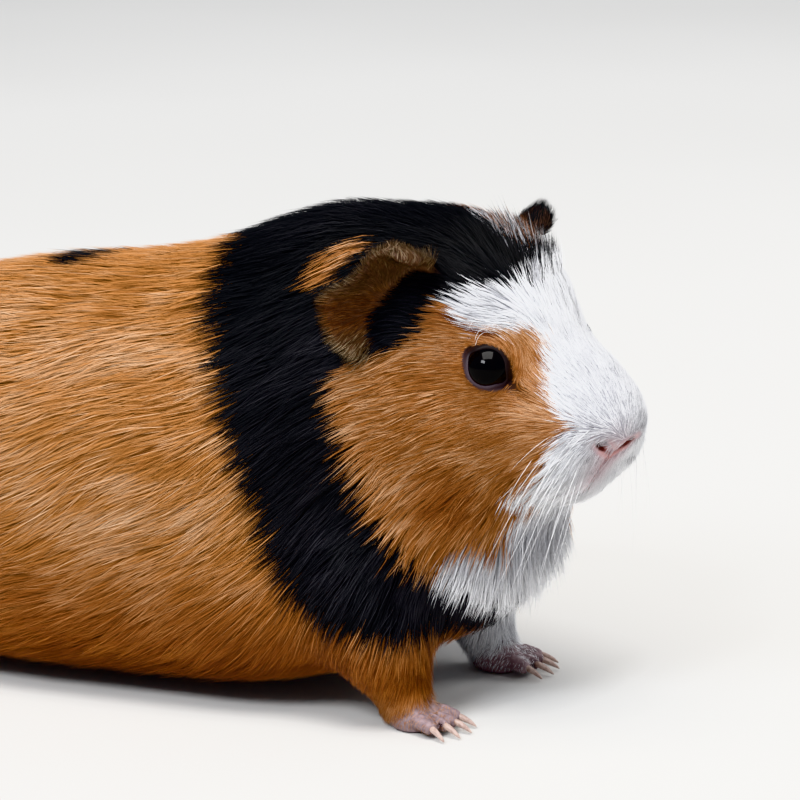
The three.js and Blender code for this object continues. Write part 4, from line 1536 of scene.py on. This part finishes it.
def skin_finish():
    hide = Finish("skin")
    grain = hide.noise(900, 3)
    tones = SKIN_COLOURS
    # The skin under the ginger darkens with the same painted shade as the deep ginger tufts.
    ginger = hide.blend(hide.attribute("deep"), tones["under ginger"], tones["under deep ginger"])
    colour = hide.blend(hide.attribute("black"), ginger, BLACK[0])
    colour = hide.blend(hide.attribute("white"), colour, WHITE[0])
    colour = hide.blend(hide.attribute("blush"), colour, PINK[0])
    of_foot, of_ear = (hide.grained(grain, colours) for colours in (FOOT_SKIN_COLOURS, EAR_SKIN_COLOURS))
    bare = hide.blend(hide.attribute("on_ear") * EAR_SKIN_REACH, of_foot, of_ear)
    colour = hide.blend(hide.attribute("bareness"), colour, bare)
    # Painted shade darkens the upper lid. The lower lid has its own mauve.
    lid = hide.blend(hide.attribute("lid_low"), tones["upper lid"], tones["lower lid"])
    colour = hide.blend(hide.attribute("lid"), colour, lid)
    # The pink of the nose, then painted shade in the crease below the nostrils and in the nostrils.
    for mask, tone in (("nose_pink", "nose"), ("nose_crease", "crease"), ("nostril", "nostril")):
        colour = hide.blend(hide.attribute(mask), colour, tones[tone])
    relief = hide.bump(grain, 0.15, 0.0003)
    return hide.done(Base_Color=colour, Roughness=0.6, Specular_IOR_Level=0.25, Normal=relief)


def grained_finish(name, colours, scale, detail, **surface):
    """A finish that wavers between two colours."""
    finish = Finish(name)
    return finish.done(Base_Color=finish.grained(finish.noise(scale, detail), colours), **surface)


FINISHES = {
    "ginger coat": coat_finish("ginger coat", GINGER, DEEP_AND_SHADED_GINGER, EAR_GINGER, specular=0.22),
    "black coat": coat_finish("black coat", BLACK, BLACK, GREY, specular=0.15),
    "white coat": coat_finish("white coat", WHITE, PINK, GREY),
    "skin": skin_finish(),
    "eye": grained_finish("eye", EYE_COLOURS, 160, 2, Roughness=0.07, Specular_IOR_Level=0.13),
    "claw": grained_finish("claw", CLAW_COLOURS, 1500, 2, Roughness=0.4),
    "whisker": grained_finish("whisker", WHISKER_COLOURS, 300, 1, Roughness=0.35),
    "floor": grained_finish("floor", FLOOR_COLOURS, 4, 2, Roughness=0.9),
}


# ---------------------------------------------------------------- studio


# Each light's place, its length and width, in metres, its power in watts and its colour.
LIGHTS = {
    "overhead": {"place": (0.15, -0.25, 1.1), "size": (0.9, 0.7), "power": 17, "colour": (1, 0.98, 0.95)},
    "window": {"place": (-0.05, -0.9, 0.85), "size": (0.45, 0.3), "power": 12, "colour": (0.93, 0.96, 1)},
    "behind": {"place": (0.6, 0.8, 0.7), "size": (0.5, 0.5), "power": 4, "colour": (1, 1, 1)},
}
LIT_SPOT = Vector((0.02, 0, 0.06))
FLOOR_HALF = 6
SKY = {"colour": (0.84, 0.88, 0.95, 1), "strength": 0.55}


def build_lights():
    for name, light in LIGHTS.items():
        data = bpy.data.lights.new(name, "AREA")
        data.shape = "RECTANGLE"
        data.size, data.size_y = light["size"]
        data.energy = light["power"]
        data.color = light["colour"]
        lamp = link(name, data)
        lamp.location = light["place"]
        lamp.rotation_euler = (LIT_SPOT - Vector(light["place"])).to_track_quat("-Z", "Y").to_euler()
    world = bpy.data.worlds.new("studio")
    world.use_nodes = True
    background = world.node_tree.nodes["Background"]
    background.inputs["Color"].default_value = SKY["colour"]
    background.inputs["Strength"].default_value = SKY["strength"]
    bpy.context.scene.world = world
    bpy.context.scene.view_settings.view_transform = "Khronos PBR Neutral"


def build_floor():
    floor = bmesh.new()
    bmesh.ops.create_grid(floor, x_segments=1, y_segments=1, size=FLOOR_HALF)
    mesh = bpy.data.meshes.new("floor")
    floor.to_mesh(mesh)
    floor.free()
    piece = link("floor", mesh)
    piece.data.materials.append(FINISHES["floor"])


CAMERA_AZIMUTH = 27.0  # degrees round the animal from its right side towards its nose
CAMERA_ELEVATION = 15.0
CAMERA_DISTANCE = 0.9
CAMERA_LENS = 202.5  # millimetres, on a sensor of this width
CAMERA_SENSOR = 36
AIM = (-20.9, -16.7, -8.5)  # millimetres along each axis from midway between the eyes


def build_camera():
    azimuth, elevation = math.radians(CAMERA_AZIMUTH), math.radians(CAMERA_ELEVATION)
    level = math.cos(elevation)
    back = Vector((math.sin(azimuth) * level, -math.cos(azimuth) * level, math.sin(elevation)))
    data = bpy.data.cameras.new("camera")
    data.lens = CAMERA_LENS
    data.sensor_width = CAMERA_SENSOR
    camera = link("camera", data)
    camera.location = Vector(BROW + np.array(AIM) * MM) + back * CAMERA_DISTANCE
    camera.rotation_euler = back.to_track_quat("Z", "Y").to_euler()
    bpy.context.scene.camera = camera


# ---------------------------------------------------------------- making it all

build_camera()
build_lights()
build_floor()
skin_mesh = build_skin()
plan_coat(skin_mesh)
skin_piece = link("skin", skin_mesh)
unwrap(skin_piece)
finish_piece(skin_piece, FINISHES["skin"])
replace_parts(skin_piece, *FLESH_NODES)
skin_arrays = Skin(skin_mesh)
build_coat(skin_arrays)
for eye_side in SIDES:
    build_eyeball(eye_side)
build_claws()
build_whiskers(skin_arrays)
